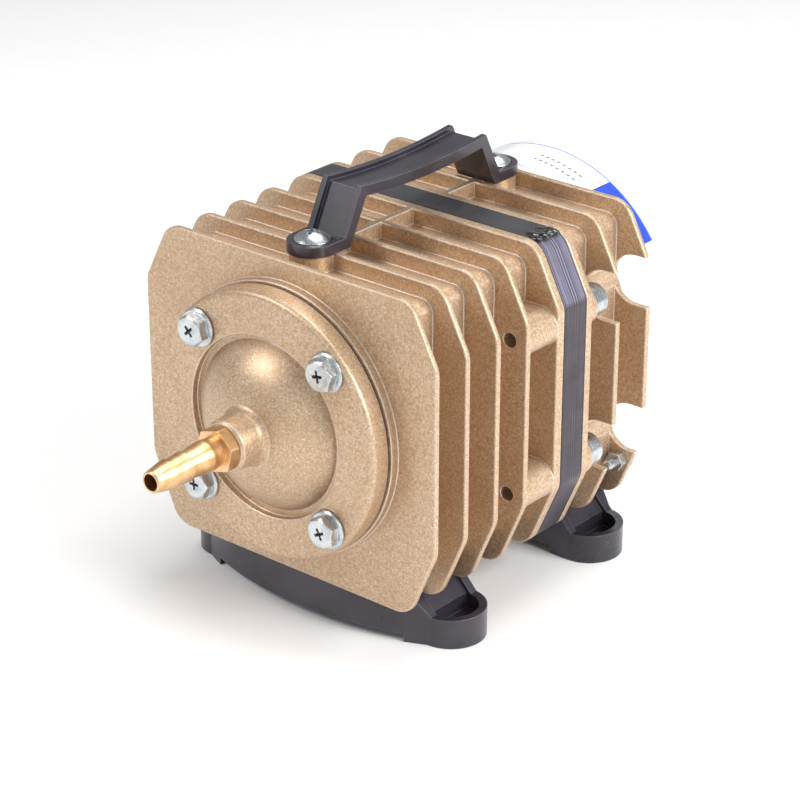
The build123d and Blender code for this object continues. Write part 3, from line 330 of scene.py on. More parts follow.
@dataclass(frozen=True)
class MouldedPart(Finish):
    """An injection-moulded plastic or a moulded rubber: even colour, a light mould texture and soft edges."""

    colour: str = "#2A282C"
    shade: str = "#1E1C20"
    scuff_and_sheen: str = "#4A484D"
    scuff_and_sheen_share: float = 0.35
    roughness: tuple[float, float] = (0.34, 0.48)
    ior: float = 1.5
    texture_mm: float = 0.5
    cloud_mm: float = 16.0
    relief_mm: float = 0.02
    edge_mm: float = 0.4
    coat: float = 0.0

    def dress(self, tree: Tree, shader: Node) -> None:
        """Adds a mould texture, scuffed edges that on the black nylon are mostly a painted sheen, and slow
        changes of shade and gloss.

        Args:
            tree: The material's nodes.
            shader: Its Principled shader.
        """
        place = stretched_place(tree, Lay.NONE)
        settings = {"Scale": per_metre(self.texture_mm), "Detail": 2.0}
        texture = add_node(tree, "ShaderNodeTexNoise", settings, {"Vector": place})
        cloud_settings = {"Scale": per_metre(self.cloud_mm), "Detail": 4.0}
        cloud = add_node(tree, "ShaderNodeTexNoise", cloud_settings, {"Vector": place})
        rounded, rims = soft_edges(tree, self.edge_mm)

        shaded = blend_colours(
            tree,
            (spread(tree, (cloud, 0), 0.35, 0.65, (0.0, 1.0)), "Result"),
            linear(self.shade),
            linear(self.colour),
        )
        # Paler edges: scuffing, and on the black nylon mostly a painted sheen.
        settings = {"operation": "MULTIPLY", 1: self.scuff_and_sheen_share}
        rubbed = add_node(tree, "ShaderNodeMath", settings, {0: (rims, "Result")})
        broken = add_node(tree, "ShaderNodeMath", {"operation": "MULTIPLY"}, {0: (rubbed, 0), 1: (cloud, 0)})
        scuffed_and_sheened = blend_colours(tree, (broken, 0), (shaded, MIXED), linear(self.scuff_and_sheen))
        rough = spread(tree, (cloud, 0), 0.3, 0.7, self.roughness)
        bump_settings = {"Strength": 0.4, "Distance": self.relief_mm * MM}
        bump_links = {"Height": (texture, 0), "Normal": (rounded, "Normal")}
        bump = add_node(tree, "ShaderNodeBump", bump_settings, bump_links)

        shader.inputs["IOR"].default_value = self.ior
        shader.inputs["Coat Weight"].default_value = self.coat
        tree.links.new(scuffed_and_sheened.outputs[MIXED], shader.inputs["Base Color"])
        tree.links.new(rough.outputs["Result"], shader.inputs["Roughness"])
        tree.links.new(bump.outputs["Normal"], shader.inputs["Normal"])


@dataclass(frozen=True)
class BareMetal(Finish):
    """A bare or plated metal: a breath of tarnish, fine marks along its lay and bright edges."""

    colour: str = "#C9CCCD"
    tarnish: str = "#9FA3A4"
    bright: str = "#F2F3F2"
    lay: Lay = Lay.NONE
    mark_mm: float = 0.35
    patch_mm: float = 3.5
    roughness: tuple[float, float] = (0.2, 0.36)
    relief_mm: float = 0.008
    edge_mm: float = 0.25
    rim_share: float = 0.6
    metallic: float = 1.0

    def dress(self, tree: Tree, shader: Node) -> None:
        """Adds tool marks, tarnish in patches and polished edges.

        Args:
            tree: The material's nodes.
            shader: Its Principled shader.
        """
        marked_place = stretched_place(tree, self.lay)
        settings = {"Scale": per_metre(self.mark_mm), "Detail": 3.0}
        marks = add_node(tree, "ShaderNodeTexNoise", settings, {"Vector": marked_place})
        plain_place = stretched_place(tree, Lay.NONE)
        patch_settings = {"Scale": per_metre(self.patch_mm), "Detail": 4.0}
        patches = add_node(tree, "ShaderNodeTexNoise", patch_settings, {"Vector": plain_place})
        rounded, rims = soft_edges(tree, self.edge_mm)

        aged = blend_colours(
            tree,
            (spread(tree, (patches, 0), 0.42, 0.68, (0.0, 1.0)), "Result"),
            linear(self.colour),
            linear(self.tarnish),
        )
        settings = {"operation": "MULTIPLY", 1: self.rim_share}
        rubbed = add_node(tree, "ShaderNodeMath", settings, {0: (rims, "Result")})
        edged = blend_colours(tree, (rubbed, 0), (aged, MIXED), linear(self.bright))
        rough = spread(tree, (marks, 0), 0.3, 0.7, self.roughness)
        bump_settings = {"Strength": 0.5, "Distance": self.relief_mm * MM}
        bump_links = {"Height": (marks, 0), "Normal": (rounded, "Normal")}
        bump = add_node(tree, "ShaderNodeBump", bump_settings, bump_links)

        shader.inputs["Metallic"].default_value = self.metallic
        tree.links.new(edged.outputs[MIXED], shader.inputs["Base Color"])
        tree.links.new(rough.outputs["Result"], shader.inputs["Roughness"])
        tree.links.new(bump.outputs["Normal"], shader.inputs["Normal"])


@dataclass(frozen=True)
class StackedSheet(Finish):
    """Silicon steel sheets, punched and stacked: each sheet's cut edge has its own grey.

    The upright sides are dark grey, the upward-sloping faces of the upper chamfers have paler violet stripes,
    and the flat top of the stack is an even varnish grey that hides the sheets.
    """

    dull: str = "#39353A"
    pale: str = "#544F56"
    oxide: str = "#5C586C"
    upward_slope_violet: str = "#ACA8BE"
    varnish: str = "#4E4D50"
    sheet_mm: float = 0.5
    smear_mm: float = 9.0
    relief_mm: float = 0.05
    roughness: tuple[float, float] = (0.3, 0.55)
    metallic: float = 0.55

    def dress(self, tree: Tree, shader: Node) -> None:
        """Adds a shade for each sheet, paler violet stripes on faces that slope upward, punching streaks across
        the edges, and the varnished top.

        Args:
            tree: The material's nodes.
            shader: Its Principled shader.
        """
        place = add_node(tree, "ShaderNodeTexCoord")
        axes = add_node(tree, "ShaderNodeSeparateXYZ", links={"Vector": (place, "Object")})
        settings = {"noise_dimensions": "1D", "Scale": per_metre(self.sheet_mm), "Detail": 0.0}
        sheets = add_node(tree, "ShaderNodeTexNoise", settings, {"W": (axes, "Y")})
        smear_settings = {"Scale": per_metre(self.smear_mm), "Detail": 5.0, "Roughness": 0.65}
        smears = add_node(tree, "ShaderNodeTexNoise", smear_settings, {"Vector": (place, "Object")})
        surface = add_node(tree, "ShaderNodeNewGeometry")
        facing = add_node(tree, "ShaderNodeSeparateXYZ", links={"Vector": (surface, "Normal")})
        upper = spread(tree, (facing, "Z"), 0.8, 0.95, (0.0, 1.0))
        sloping = spread(tree, (facing, "Z"), 0.15, 0.35, (0.0, 0.8))

        tone = (spread(tree, (sheets, 0), 0.3, 0.7, (0.0, 1.0)), "Result")
        striped = blend_colours(tree, tone, linear(self.dull), linear(self.pale))
        # Faces that slope upward get paler violet stripes, chosen by which way each face points.
        oxidised = blend_colours(tree, tone, linear(self.oxide), linear(self.upward_slope_violet))
        upward_slope_tone = blend_colours(tree, (sloping, "Result"), (striped, MIXED), (oxidised, MIXED))
        smeared = blend_colours(
            tree,
            (spread(tree, (smears, 0), 0.35, 0.7, (0.0, 0.45)), "Result"),
            (upward_slope_tone, MIXED),
            linear(self.dull),
        )
        coated = blend_colours(tree, (upper, "Result"), (smeared, MIXED), linear(self.varnish))
        rough = spread(tree, (smears, 0), 0.3, 0.7, self.roughness)
        bump_settings = {"Strength": 0.25, "Distance": self.relief_mm * MM}
        bump = add_node(tree, "ShaderNodeBump", bump_settings, {"Height": (smears, 0)})

        shader.inputs["Metallic"].default_value = self.metallic
        tree.links.new(coated.outputs[MIXED], shader.inputs["Base Color"])
        tree.links.new(rough.outputs["Result"], shader.inputs["Roughness"])
        tree.links.new(bump.outputs["Normal"], shader.inputs["Normal"])


@dataclass(frozen=True)
class OpenFoam(Finish):
    """Reticulated polyether foam: a dull mid grey full of small round pores, painted dark as the shade in them.
    """

    colour: str = "#6E716F"
    pore_shade: str = "#1F2121"
    pore_mm: float = 1.4
    pore_deep_mm: float = 0.4
    roughness: float = 0.92
    sheen: float = 0.15

    def dress(self, tree: Tree, shader: Node) -> None:
        """Adds the pores as painted shade in the foam's colour, and as hollows in its bump.

        Args:
            tree: The material's nodes.
            shader: Its Principled shader.
        """
        place = stretched_place(tree, Lay.NONE)
        pores = add_node(tree, "ShaderNodeTexVoronoi", {"Scale": per_metre(self.pore_mm)}, {"Vector": place})
        depth = spread(tree, (pores, "Distance"), 0.15, 0.55, (0.0, 1.0))
        # The dark pore colour is painted shade in the hollows.
        coloured = blend_colours(tree, (depth, "Result"), linear(self.pore_shade), linear(self.colour))
        bump_settings = {"Strength": 0.8, "Distance": self.pore_deep_mm * MM}
        bump = add_node(tree, "ShaderNodeBump", bump_settings, {"Height": (depth, "Result")})
        shader.inputs["Roughness"].default_value = self.roughness
        shader.inputs["Sheen Weight"].default_value = self.sheen
        tree.links.new(coloured.outputs[MIXED], shader.inputs["Base Color"])
        tree.links.new(bump.outputs["Normal"], shader.inputs["Normal"])


@dataclass(frozen=True)
class PrintedLabel(Finish):
    """Gloss-laminated white film with a plain print: a blue panel, a thin blue rule and rows of grey dashes.

    The print is placed by the angle round the cap, from straight up towards +X, and by the distance along Y.
    """

    white: str = "#EFF0F2"
    blue: str = "#2A4CC4"
    rule: str = "#5C78D8"
    grey: str = "#8B8F98"
    axis_high: float = 59 * MM
    panel_from: float = 29.0
    panel_to: float = 75.0
    rule_at: tuple[float, float] = (0.92, 0.95)
    row_at: tuple[tuple[float, float], ...] = ((0.34, 0.40), (0.52, 0.58))
    row_angles: tuple[float, float] = (3.0, 23.0)
    dash_deg: float = 2.6
    dash_share: float = 0.55
    mark_at: tuple[float, float] = (0.22, 0.34)
    mark_angles: tuple[float, float] = (32.0, 50.0)
    ripple_mm: float = 7.0
    ripple_deep_mm: float = 0.1
    roughness: tuple[float, float] = (0.16, 0.3)
    coat: float = 0.4
    coat_roughness: float = 0.08

    def band(self, tree: Tree, value: Output, low: float, high: float) -> Node:
        """A value that is 1 between low and high, and 0 outside.

        Args:
            tree: The material's nodes.
            value: The node and output to test.
            low: The lower limit.
            high: The upper limit.

        Returns:
            The node whose first output is the mask.
        """
        settings = {"operation": "COMPARE", 1: (low + high) / 2, 2: (high - low) / 2}
        return add_node(tree, "ShaderNodeMath", settings, {0: value})

    def both(self, tree: Tree, first: Node, second: Node) -> Node:
        """Returns the node that is 1 only where both masks are."""
        return add_node(tree, "ShaderNodeMath", {"operation": "MULTIPLY"}, {0: (first, 0), 1: (second, 0)})

    def dress(self, tree: Tree, shader: Node) -> None:
        """Adds the print and the clear laminate over it.

        Args:
            tree: The material's nodes.
            shader: Its Principled shader.
        """
        low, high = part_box("cap_label")
        place = add_node(tree, "ShaderNodeTexCoord")
        axes = add_node(tree, "ShaderNodeSeparateXYZ", links={"Vector": (place, "Object")})
        settings = {"operation": "SUBTRACT", 1: self.axis_high}
        rise = add_node(tree, "ShaderNodeMath", settings, {0: (axes, "Z")})
        angle = add_node(tree, "ShaderNodeMath", {"operation": "ARCTAN2"}, {0: (axes, "X"), 1: (rise, 0)})
        degrees = add_node(tree, "ShaderNodeMath", {"operation": "DEGREES"}, {0: (angle, 0)})
        along = spread(tree, (axes, "Y"), low.y, high.y, (0.0, 1.0))

        panel = self.band(tree, (degrees, 0), self.panel_from, self.panel_to)
        below_rule = self.band(tree, (along, "Result"), 0.0, self.rule_at[0])
        rule = self.band(tree, (along, "Result"), *self.rule_at)
        settings = {"operation": "DIVIDE", 1: self.dash_deg}
        steps = add_node(tree, "ShaderNodeMath", settings, {0: (degrees, 0)})
        cycle = add_node(tree, "ShaderNodeMath", {"operation": "FRACT"}, {0: (steps, 0)})
        dashes = self.band(tree, (cycle, 0), 0.0, self.dash_share)
        row_span = self.both(tree, dashes, self.band(tree, (degrees, 0), *self.row_angles))
        mark_span = self.both(tree, dashes, self.band(tree, (degrees, 0), *self.mark_angles))
        marks = self.both(tree, mark_span, self.band(tree, (along, "Result"), *self.mark_at))

        print_layers = [
            (self.both(tree, panel, below_rule), self.blue),
            (rule, self.rule),
            (marks, self.white),
        ]
        for row in self.row_at:
            printed_row = self.both(tree, row_span, self.band(tree, (along, "Result"), *row))
            print_layers.append((printed_row, self.grey))
        colour: Any = linear(self.white)
        for mask, ink in print_layers:
            colour = (blend_colours(tree, (mask, 0), colour, linear(ink)), MIXED)
        settings = {"Scale": per_metre(self.ripple_mm), "Detail": 3.0}
        ripple = add_node(tree, "ShaderNodeTexNoise", settings, {"Vector": (place, "Object")})
        rough = spread(tree, (ripple, 0), 0.3, 0.7, self.roughness)
        bump_settings = {"Strength": 0.2, "Distance": self.ripple_deep_mm * MM}
        bump = add_node(tree, "ShaderNodeBump", bump_settings, {"Height": (ripple, 0)})
        shader.inputs["Coat Weight"].default_value = self.coat
        shader.inputs["Coat Roughness"].default_value = self.coat_roughness
        tree.links.new(colour[0].outputs[MIXED], shader.inputs["Base Color"])
        tree.links.new(rough.outputs["Result"], shader.inputs["Roughness"])
        tree.links.new(bump.outputs["Normal"], shader.inputs["Normal"])


# ---------------------------------------------------------------- mesh building


def deselect_all() -> None:
    """Leaves edit mode and deselects every object."""
    if bpy.context.object is not None and bpy.context.object.mode == "EDIT":
        bpy.ops.object.mode_set(mode="OBJECT")
    bpy.ops.object.select_all(action="DESELECT")


def pick(*pieces: Piece) -> None:
    """Selects only these pieces, the first one active."""
    deselect_all()
    for piece in pieces:
        piece.select_set(True)
    bpy.context.view_layer.objects.active = pieces[0]


def copied_node(node: str, name: str) -> Piece:
    """Copies a CAD node's mesh into a new piece, with its loose triangles merged.

    Args:
        node: The CAD node.
        name: The new piece's name.

    Returns:
        The new piece, in edit mode with all selected.
    """
    piece = bpy.data.objects.new(name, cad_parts[node].data.copy())
    piece.data.name = name
    bpy.context.scene.collection.objects.link(piece)
    pick(piece)
    bpy.ops.mesh.customdata_custom_splitnormals_clear()
    bpy.ops.object.mode_set(mode="EDIT")
    bpy.ops.mesh.select_all(action="SELECT")
    bpy.ops.mesh.remove_doubles(threshold=MERGE)
    return piece


def select_corners(piece: Piece, wanted: Callable[[Vector, Vector], bool]) -> None:
    """Selects the vertices of the piece in edit mode that are wanted.

    Args:
        piece: The piece, in edit mode.
        wanted: Says of a place and a normal whether that vertex is selected.
    """
    bpy.ops.mesh.select_mode(type="VERT")
    bpy.ops.mesh.select_all(action="DESELECT")
    mesh = bmesh.from_edit_mesh(piece.data)
    mesh.normal_update()
    for corner in mesh.verts:
        corner.select = wanted(corner.co, corner.normal)
    mesh.select_flush_mode()
    bmesh.update_edit_mesh(piece.data)


def cut_grooves(
    piece: Piece,
    axis: Vector,
    places: Sequence[float],
    half_width: float,
    depth: float,
    smooth: Callable[[Vector], bool],
) -> None:
    """Cuts a V groove round the piece in edit mode at each place along an axis.

    Args:
        piece: The piece, in edit mode.
        axis: The unit axis that the grooves lie across.
        places: Where the grooves are, along the axis.
        half_width: Half the width of a groove at the surface.
        depth: How deep a groove is.
        smooth: Says of a surface normal whether the surface stays smooth there.
    """
    for place in places:
        for shift in (-half_width, 0.0, half_width):
            bpy.ops.mesh.select_all(action="SELECT")
            bpy.ops.mesh.bisect(plane_co=axis * (place + shift), plane_no=axis, use_fill=False)
    select_corners(
        piece,
        lambda co, normal: min(abs(axis.dot(co) - place) for place in places) < MERGE and not smooth(normal),
    )
    bpy.ops.transform.shrink_fatten(value=-depth)
    bpy.ops.mesh.select_all(action="SELECT")
    bpy.ops.object.mode_set(mode="OBJECT")


def evenly(low: float, high: float, pitch: float) -> list[float]:
    """Places between two ends, at the even spacing nearest to a pitch.

    Args:
        low: One end.
        high: The other end.
        pitch: The spacing that is wanted.

    Returns:
        The places, without the two ends.
    """
    count = round((high - low) / pitch)
    return [low + (high - low) * step / count for step in range(1, count)]


def apply_modifier(piece: Piece, kind: str, **settings: Any) -> None:
    """Adds a modifier to a piece and applies it.

    Args:
        piece: The piece.
        kind: The modifier's type.
        **settings: The modifier's own settings.
    """
    pick(piece)
    modifier = piece.modifiers.new(kind.lower(), kind)
    for key, value in settings.items():
        setattr(modifier, key, value)
    bpy.ops.object.modifier_apply(modifier=modifier.name)


def put_in_place(piece: Piece) -> None:
    """Moves a piece's place, turn and size into its mesh, so that its object sits at the origin."""
    pick(piece)
    bpy.ops.object.transform_apply(location=True, rotation=True, scale=True)


def set_finish(piece: Piece, finish: Finish) -> None:
    """Gives a piece one finish all over.

    Args:
        piece: A new piece or a CAD node.
        finish: The finish that it gets.
    """
    material = finish.material()
    if not piece.material_slots:
        piece.data.materials.append(material)
    for place in piece.material_slots:
        place.material = material


# ---------------------------------------------------------------- the finishes of this pump

CHAMPAGNE = HammertonePaint("die_cast_aluminium_hammertone_paint")
# Its pale violet-grey edge colour at full share is mostly a painted sheen on the glossy handle and feet, with
# some scuffing.
BLACK_NYLON = MouldedPart(
    "black_glass_filled_nylon_moulded",
    colour="#38343E",
    shade="#252229",
    scuff_and_sheen="#8A8694",
    scuff_and_sheen_share=1.0,
    roughness=(0.24, 0.36),
    coat=0.25,
)
WHITE_ABS = MouldedPart(
    "white_abs_moulded",
    colour="#F1F1F0",
    shade="#E6E7E8",
    scuff_and_sheen="#FFFFFF",
    roughness=(0.14, 0.24),
    relief_mm=0.008,
    coat=0.35,
)
NITRILE = MouldedPart(
    "nitrile_rubber_moulded", colour="#1D1D1E", shade="#151516", scuff_and_sheen="#333334", roughness=(0.6, 0.75)
)
GASKET_BOARD = MouldedPart(
    "compressed_fibre_gasket_board", colour="#6B5340", shade="#57432F", scuff_and_sheen="#7D6450", roughness=(0.75, 0.9)
)
PTFE = MouldedPart(
    "graphite_filled_ptfe_turned", colour="#4C4A47", shade="#3A3836", scuff_and_sheen="#6A6763", roughness=(0.4, 0.5)
)
BOBBIN_NYLON = MouldedPart(
    "natural_nylon_moulded", colour="#E6DCC4", shade="#D8CBAE", scuff_and_sheen="#F4EDDC", roughness=(0.35, 0.5)
)
VARNISH = MouldedPart(
    "black_dipping_varnish",
    colour="#111013",
    shade="#0A090B",
    scuff_and_sheen="#26242A",
    roughness=(0.06, 0.14),
    texture_mm=2.0,
    coat=0.8,
)
ZINC = BareMetal("zinc_plated_steel", colour="#CDD1D3", tarnish="#A9AEB1", roughness=(0.22, 0.4))
BRASS = BareMetal(
    "turned_brass",
    colour="#E3BC8E",
    tarnish="#CC9C6A",
    bright="#FFE9CB",
    lay=Lay.TURNED,
    mark_mm=0.5,
    roughness=(0.3, 0.42),
    relief_mm=0.004,
)
ALUMINIUM = BareMetal(
    "turned_aluminium", colour="#C4C6C8", tarnish="#A6A8AA", lay=Lay.TURNED, roughness=(0.28, 0.42)
)
SPRING = BareMetal(
    "oiled_spring_steel", colour="#8F9092", tarnish="#66676A", lay=Lay.NONE, roughness=(0.25, 0.4)
)
GROUND_STEEL = BareMetal(
    "ground_silver_steel", colour="#B9BABC", tarnish="#9B9DA0", lay=Lay.TURNED, roughness=(0.14, 0.26)
)
BRONZE = BareMetal(
    "sintered_bronze", colour="#B98A5A", tarnish="#8C6238", bright="#E0B98A", roughness=(0.42, 0.6)
)
COPPER = BareMetal(
    "enamelled_copper_wire",
    colour="#C46A32",
    tarnish="#8E3F18",
    bright="#F0A468",
    lay=Lay.WOUND,
    mark_mm=0.9,
    roughness=(0.16, 0.3),
)
SHEETS = StackedSheet("punched_silicon_steel_sheets")
FOAM = OpenFoam("reticulated_polyether_foam")
PRINT = PrintedLabel("laminated_printed_film")


# ---------------------------------------------------------------- sub-assemblies


@dataclass
class SubAssembly(ABC):
    """Pieces of the pump that are made and finished together."""

    carried: dict[str, Finish] = field(default_factory=dict)

    def finish_carried(self) -> list[str]:
        """Gives each CAD node of this sub-assembly its finish, and returns their names."""
        for node, finish in self.carried.items():
            set_finish(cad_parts[node], finish)
        return list(self.carried)

    def model(self) -> list[Piece]:
        """Makes the pieces that the CAD holds only as plain solids, and returns them."""
        return []

    def build(self) -> list[str]:
        """Finishes the carried nodes, makes the new pieces, and returns all their names."""
        return self.finish_carried() + [piece.name for piece in self.model()]


@dataclass
class Castings(SubAssembly):
    """The finned front housing, its domed cover and the rear housing, cast and painted."""

    carried: dict[str, Finish] = field(
        default_factory=lambda: dict.fromkeys(("front_housing", "front_cover", "rear_housing"), CHAMPAGNE)
    )


@dataclass
class AirEnd(SubAssembly):
    """The cylinder, the piston, the valves and the outlet barb."""

    carried: dict[str, Finish] = field(
        default_factory=lambda: {
            "cover_gasket": GASKET_BOARD,
            "hose_barb": BRASS,
            "valve_plate": ALUMINIUM,
            "outlet_valve": NITRILE,
            "outlet_valve_screw": ZINC,
            "outlet_valve_spring": SPRING,
            "cylinder_liner": ALUMINIUM,
            "piston": ALUMINIUM,
            "piston_seal": PTFE,
            "intake_valve": NITRILE,
            "intake_valve_screw": ZINC,
            "piston_shaft": GROUND_STEEL,
            "shaft_bumper": NITRILE,
            "shaft_nut": ZINC,
            "return_spring": SPRING,
            "guide_bush": BRONZE,
        }
    )


@dataclass
class Drive(SubAssembly):
    """The laminated core between the two castings, with its windings and the armature that they pull.

    The core is a stack of thin sheets, so its rim has a fine groove between each two of them.
    """

    carried: dict[str, Finish] = field(
        default_factory=lambda: {
            "bobbin_left": BOBBIN_NYLON,
            "bobbin_right": BOBBIN_NYLON,
            "armature": SHEETS,
        }
    )
    sheet: float = 0.5 * MM
    seam_half: float = 0.09 * MM
    seam_deep: float = 0.13 * MM
    flat_top: float = 0.9
    wire: float = 0.85 * MM
    wire_gap_half: float = 0.26 * MM
    wire_gap_deep: float = 0.3 * MM
    # Each drop's place across the stack from 0 to 1, then its shift, half length, half width and rise in mm.
    varnish_drops: tuple[tuple[float, float, float, float, float], ...] = (
        (0.10, 0.3, 2.6, 1.1, 0.45),
        (0.24, -1.6, 2.2, 1.5, 0.75),
        (0.35, 1.2, 1.9, 1.3, 0.9),
        (0.48, -0.4, 3.0, 1.6, 0.55),
        (0.62, 1.0, 1.6, 1.2, 1.0),
        (0.70, -2.2, 1.8, 1.4, 0.6),
        (0.83, 0.2, 2.9, 1.3, 0.7),
        (0.94, -0.9, 1.7, 0.9, 0.45),
    )
    drop_offset: float = 11.4 * MM
    drop_sink: float = 0.1 * MM
    drop_mesh: float = 0.2 * MM

    def core(self) -> Piece:
        """Makes the stack of sheets, and returns it."""
        low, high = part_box("stator_laminations")
        stack = copied_node("stator_laminations", "lamination_stack")
        seams = evenly(low.y, high.y, self.sheet)
        cut_grooves(
            stack,
            Vector((0, 1, 0)),
            seams,
            self.seam_half,
            self.seam_deep,
            lambda normal: abs(normal.z) > self.flat_top,
        )
        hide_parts("stator_laminations")
        return self.hand_over(stack, SHEETS, Slot.CORE)

    def winding(self, side: Side) -> Piece:
        """Makes one coil with the turns of its outer layer.

        Args:
            side: The side of the pump that the coil is on.

        Returns:
            The coil.
        """
        node = f"coil_{side.value}"
        low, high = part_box(node)
        coil = copied_node(node, f"winding_{side.value}")
        turns = evenly(low.x, high.x, self.wire)
        cut_grooves(
            coil, Vector((1, 0, 0)), turns, self.wire_gap_half, self.wire_gap_deep, lambda normal: False
        )
        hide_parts(node)
        return self.hand_over(coil, COPPER, Slot.WINDING)

    def varnish_run(self) -> Piece:
        """Makes the varnish that has run together on the upper corner of the core, and returns it."""
        low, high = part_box("stator_laminations")
        drops = []
        deselect_all()
        for share, aside, reach, width, rise in self.varnish_drops:
            across = high.x - self.drop_offset + aside * MM
            place = Vector((across, low.y + (high.y - low.y) * share, high.z - self.drop_sink))
            bpy.ops.mesh.primitive_uv_sphere_add(
                segments=DROP_SEGMENTS, ring_count=DROP_SEGMENTS // 2, radius=1.0, location=place
            )
            drop = bpy.context.object
            drop.scale = (reach * MM, width * MM, rise * MM)
            put_in_place(drop)
            drops.append(drop)
        pick(*drops)
        bpy.ops.object.join()
        run = bpy.context.object
        run.name = "varnish_run"
        apply_modifier(run, "REMESH", mode="VOXEL", voxel_size=self.drop_mesh)
        apply_modifier(run, "SMOOTH", factor=0.8, iterations=6)
        return self.hand_over(run, VARNISH, Slot.CORE)

    def hand_over(self, piece: Piece, finish: Finish, slot: Slot) -> Piece:
        """Shades, finishes and fixes a new piece to the pump's body.

        Args:
            piece: The new piece.
            finish: Its finish.
            slot: The material slot that it stands for. Not used.

        Returns:
            The same piece.
        """
        pick(piece)
        bpy.ops.object.shade_smooth_by_angle(angle=SHARP_ANGLE)
        set_finish(piece, finish)
        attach(piece, Body.PUMP.value)
        return piece

    def model(self) -> list[Piece]:
        """Makes the core, both coils and the run of varnish, and returns them."""
        return [self.core(), self.winding(Side.LEFT), self.winding(Side.RIGHT), self.varnish_run()]


@dataclass
class CarryingParts(SubAssembly):
    """The handle on top and the two feet under the castings."""

    carried: dict[str, Finish] = field(
        default_factory=lambda: dict.fromkeys(("handle", "front_foot", "rear_foot"), BLACK_NYLON)
    )


@dataclass
class Fasteners(SubAssembly):
    """Every screw, bolt, nut and washer that shows on the outside."""

    carried: dict[str, Finish] = field(
        default_factory=lambda: dict.fromkeys(
            (
                "cover_screws",
                "through_bolts",
                "bolt_washers",
                "bolt_spring_washers",
                "earth_screw",
                "earth_washer",
                "earth_nut",
                "handle_screws",
                "foot_screws",
                "cap_screws",
            ),
            ZINC,
        )
    )


@dataclass
class RearCap(SubAssembly):
    """The air filter cap with its label, cable inlet and the foam filter inside."""

    carried: dict[str, Finish] = field(
        default_factory=lambda: {"rear_cap": WHITE_ABS, "cap_label": PRINT, "cable_grommet": NITRILE}
    )
    foam_mesh: float = 1.3 * MM
    foam_swell: float = 0.5 * MM
    foam_lump: float = 4.0 * MM
    foam_room: float = 0.35 * MM
    foam_fill: float = 0.6

    def filter_pad(self) -> Piece:
        """Makes the foam filter pad with soft edges and an uneven cut surface, and returns it."""
        pad = copied_node("filter_sponge", "filter_pad")
        bpy.ops.object.mode_set(mode="OBJECT")
        apply_modifier(pad, "REMESH", mode="VOXEL", voxel_size=self.foam_mesh)
        apply_modifier(pad, "SMOOTH", factor=0.6, iterations=4)
        for corner in pad.data.vertices:
            lump = noise.noise(corner.co / self.foam_lump)
            corner.co += corner.normal * (lump * self.foam_swell - self.foam_room)
        pick(pad)
        bpy.ops.object.shade_smooth()
        set_finish(pad, FOAM)
        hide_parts("filter_sponge")
        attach(pad, Body.PUMP.value)
        return pad

    def model(self) -> list[Piece]:
        """Makes the foam filter, and returns it."""
        return [self.filter_pad()]


# ---------------------------------------------------------------- the studio


@dataclass(frozen=True)
class Softbox:
    """One soft studio light, aimed at the pump."""

    name: str
    place: tuple[float, float, float]
    size: float
    power: float
    tint: str = "#FFFFFF"


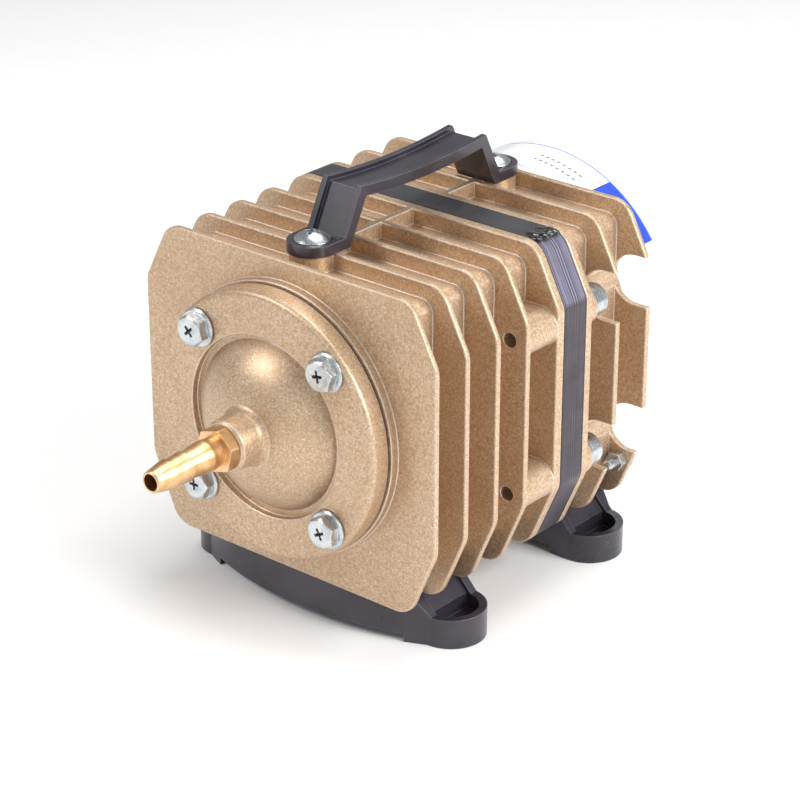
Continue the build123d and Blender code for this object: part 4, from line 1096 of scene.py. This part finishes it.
@dataclass
class Studio:
    """A pale floor, soft lights and the camera."""

    aim: tuple[float, float, float] = (21.6 * MM, -31.0 * MM, 62.85 * MM)
    azimuth: float = math.radians(39.81)
    elevation: float = math.radians(24.99)
    roll: float = math.radians(0.06)
    distance: float = 698 * MM
    lens: float = 120.15
    sensor: float = 36.0
    floor_size: float = 12.0
    floor_colour: str = "#F6F6F6"
    sky_colour: str = "#FFFFFF"
    sky_power: float = 0.34
    softboxes: tuple[Softbox, ...] = (
        Softbox("light_right_top", (0.78, 0.12, 0.5), 0.5, 9.0),
        Softbox("light_left_front", (-0.42, -0.62, 0.62), 0.3, 3.6),
        Softbox("light_front_low", (0.35, -0.95, 0.3), 0.6, 1.0),
        Softbox("light_above", (0.0, 0.25, 0.9), 0.6, 5.0),
    )

    def towards(self, azimuth: float, elevation: float) -> Vector:
        """Returns the unit direction from the pump to a viewer at that azimuth and elevation."""
        flat = math.cos(elevation)
        return Vector((math.sin(azimuth) * flat, -math.cos(azimuth) * flat, math.sin(elevation)))

    def camera(self) -> None:
        """Adds the camera."""
        data = bpy.data.cameras.new("camera")
        data.lens = self.lens
        data.sensor_width = self.sensor
        camera = bpy.data.objects.new("camera", data)
        bpy.context.scene.collection.objects.link(camera)
        back = self.towards(self.azimuth, self.elevation)
        facing = (-back).to_track_quat("-Z", "Y").to_matrix().to_4x4()
        place = Matrix.Translation(Vector(self.aim) + back * self.distance)
        camera.matrix_world = place @ facing @ Matrix.Rotation(self.roll, 4, "Z")
        bpy.context.scene.camera = camera

    def floor(self) -> None:
        """Adds the pale floor that the pump stands on."""
        deselect_all()
        bpy.ops.mesh.primitive_plane_add(size=self.floor_size)
        ground = bpy.context.object
        ground.name = "studio_floor"
        finish = MouldedPart(
            "pale_studio_floor",
            colour=self.floor_colour,
            shade=self.floor_colour,
            scuff_and_sheen=self.floor_colour,
            scuff_and_sheen_share=0.0,
            roughness=(0.7, 0.8),
        )
        set_finish(ground, finish)

    def lights(self) -> None:
        """Adds the softboxes, each turned to the pump, and the pale surroundings."""
        for box in self.softboxes:
            data = bpy.data.lights.new(box.name, "AREA")
            data.shape = "SQUARE"
            data.size = box.size
            data.energy = box.power
            data.color = linear(box.tint)[:3]
            light = bpy.data.objects.new(box.name, data)
            bpy.context.scene.collection.objects.link(light)
            light.location = box.place
            light.rotation_mode = "QUATERNION"
            light.rotation_quaternion = (Vector(self.aim) - Vector(box.place)).to_track_quat("-Z", "Y")
        world = bpy.data.worlds.new("studio")
        world.use_nodes = True
        world.node_tree.nodes.clear()
        settings = {"Color": linear(self.sky_colour), "Strength": self.sky_power}
        sky = add_node(world.node_tree, "ShaderNodeBackground", settings)
        add_node(world.node_tree, "ShaderNodeOutputWorld", links={"Surface": (sky, "Background")})
        bpy.context.scene.world = world

    def build(self) -> None:
        """Sets up the whole studio, with plain colours that match the real finishes."""
        bpy.context.scene.view_settings.view_transform = "Standard"
        self.camera()
        self.floor()
        self.lights()


def main() -> None:
    """Builds the studio and every sub-assembly in order."""
    logging.basicConfig(level=logging.INFO, format="%(message)s")
    Studio().build()
    for assembly in (Castings(), AirEnd(), Drive(), CarryingParts(), Fasteners(), RearCap()):
        for name in assembly.build():
            LOG.info("%s: %s is finished", type(assembly).__name__, name)
    deselect_all()


if __name__ == "__main__":
    main()
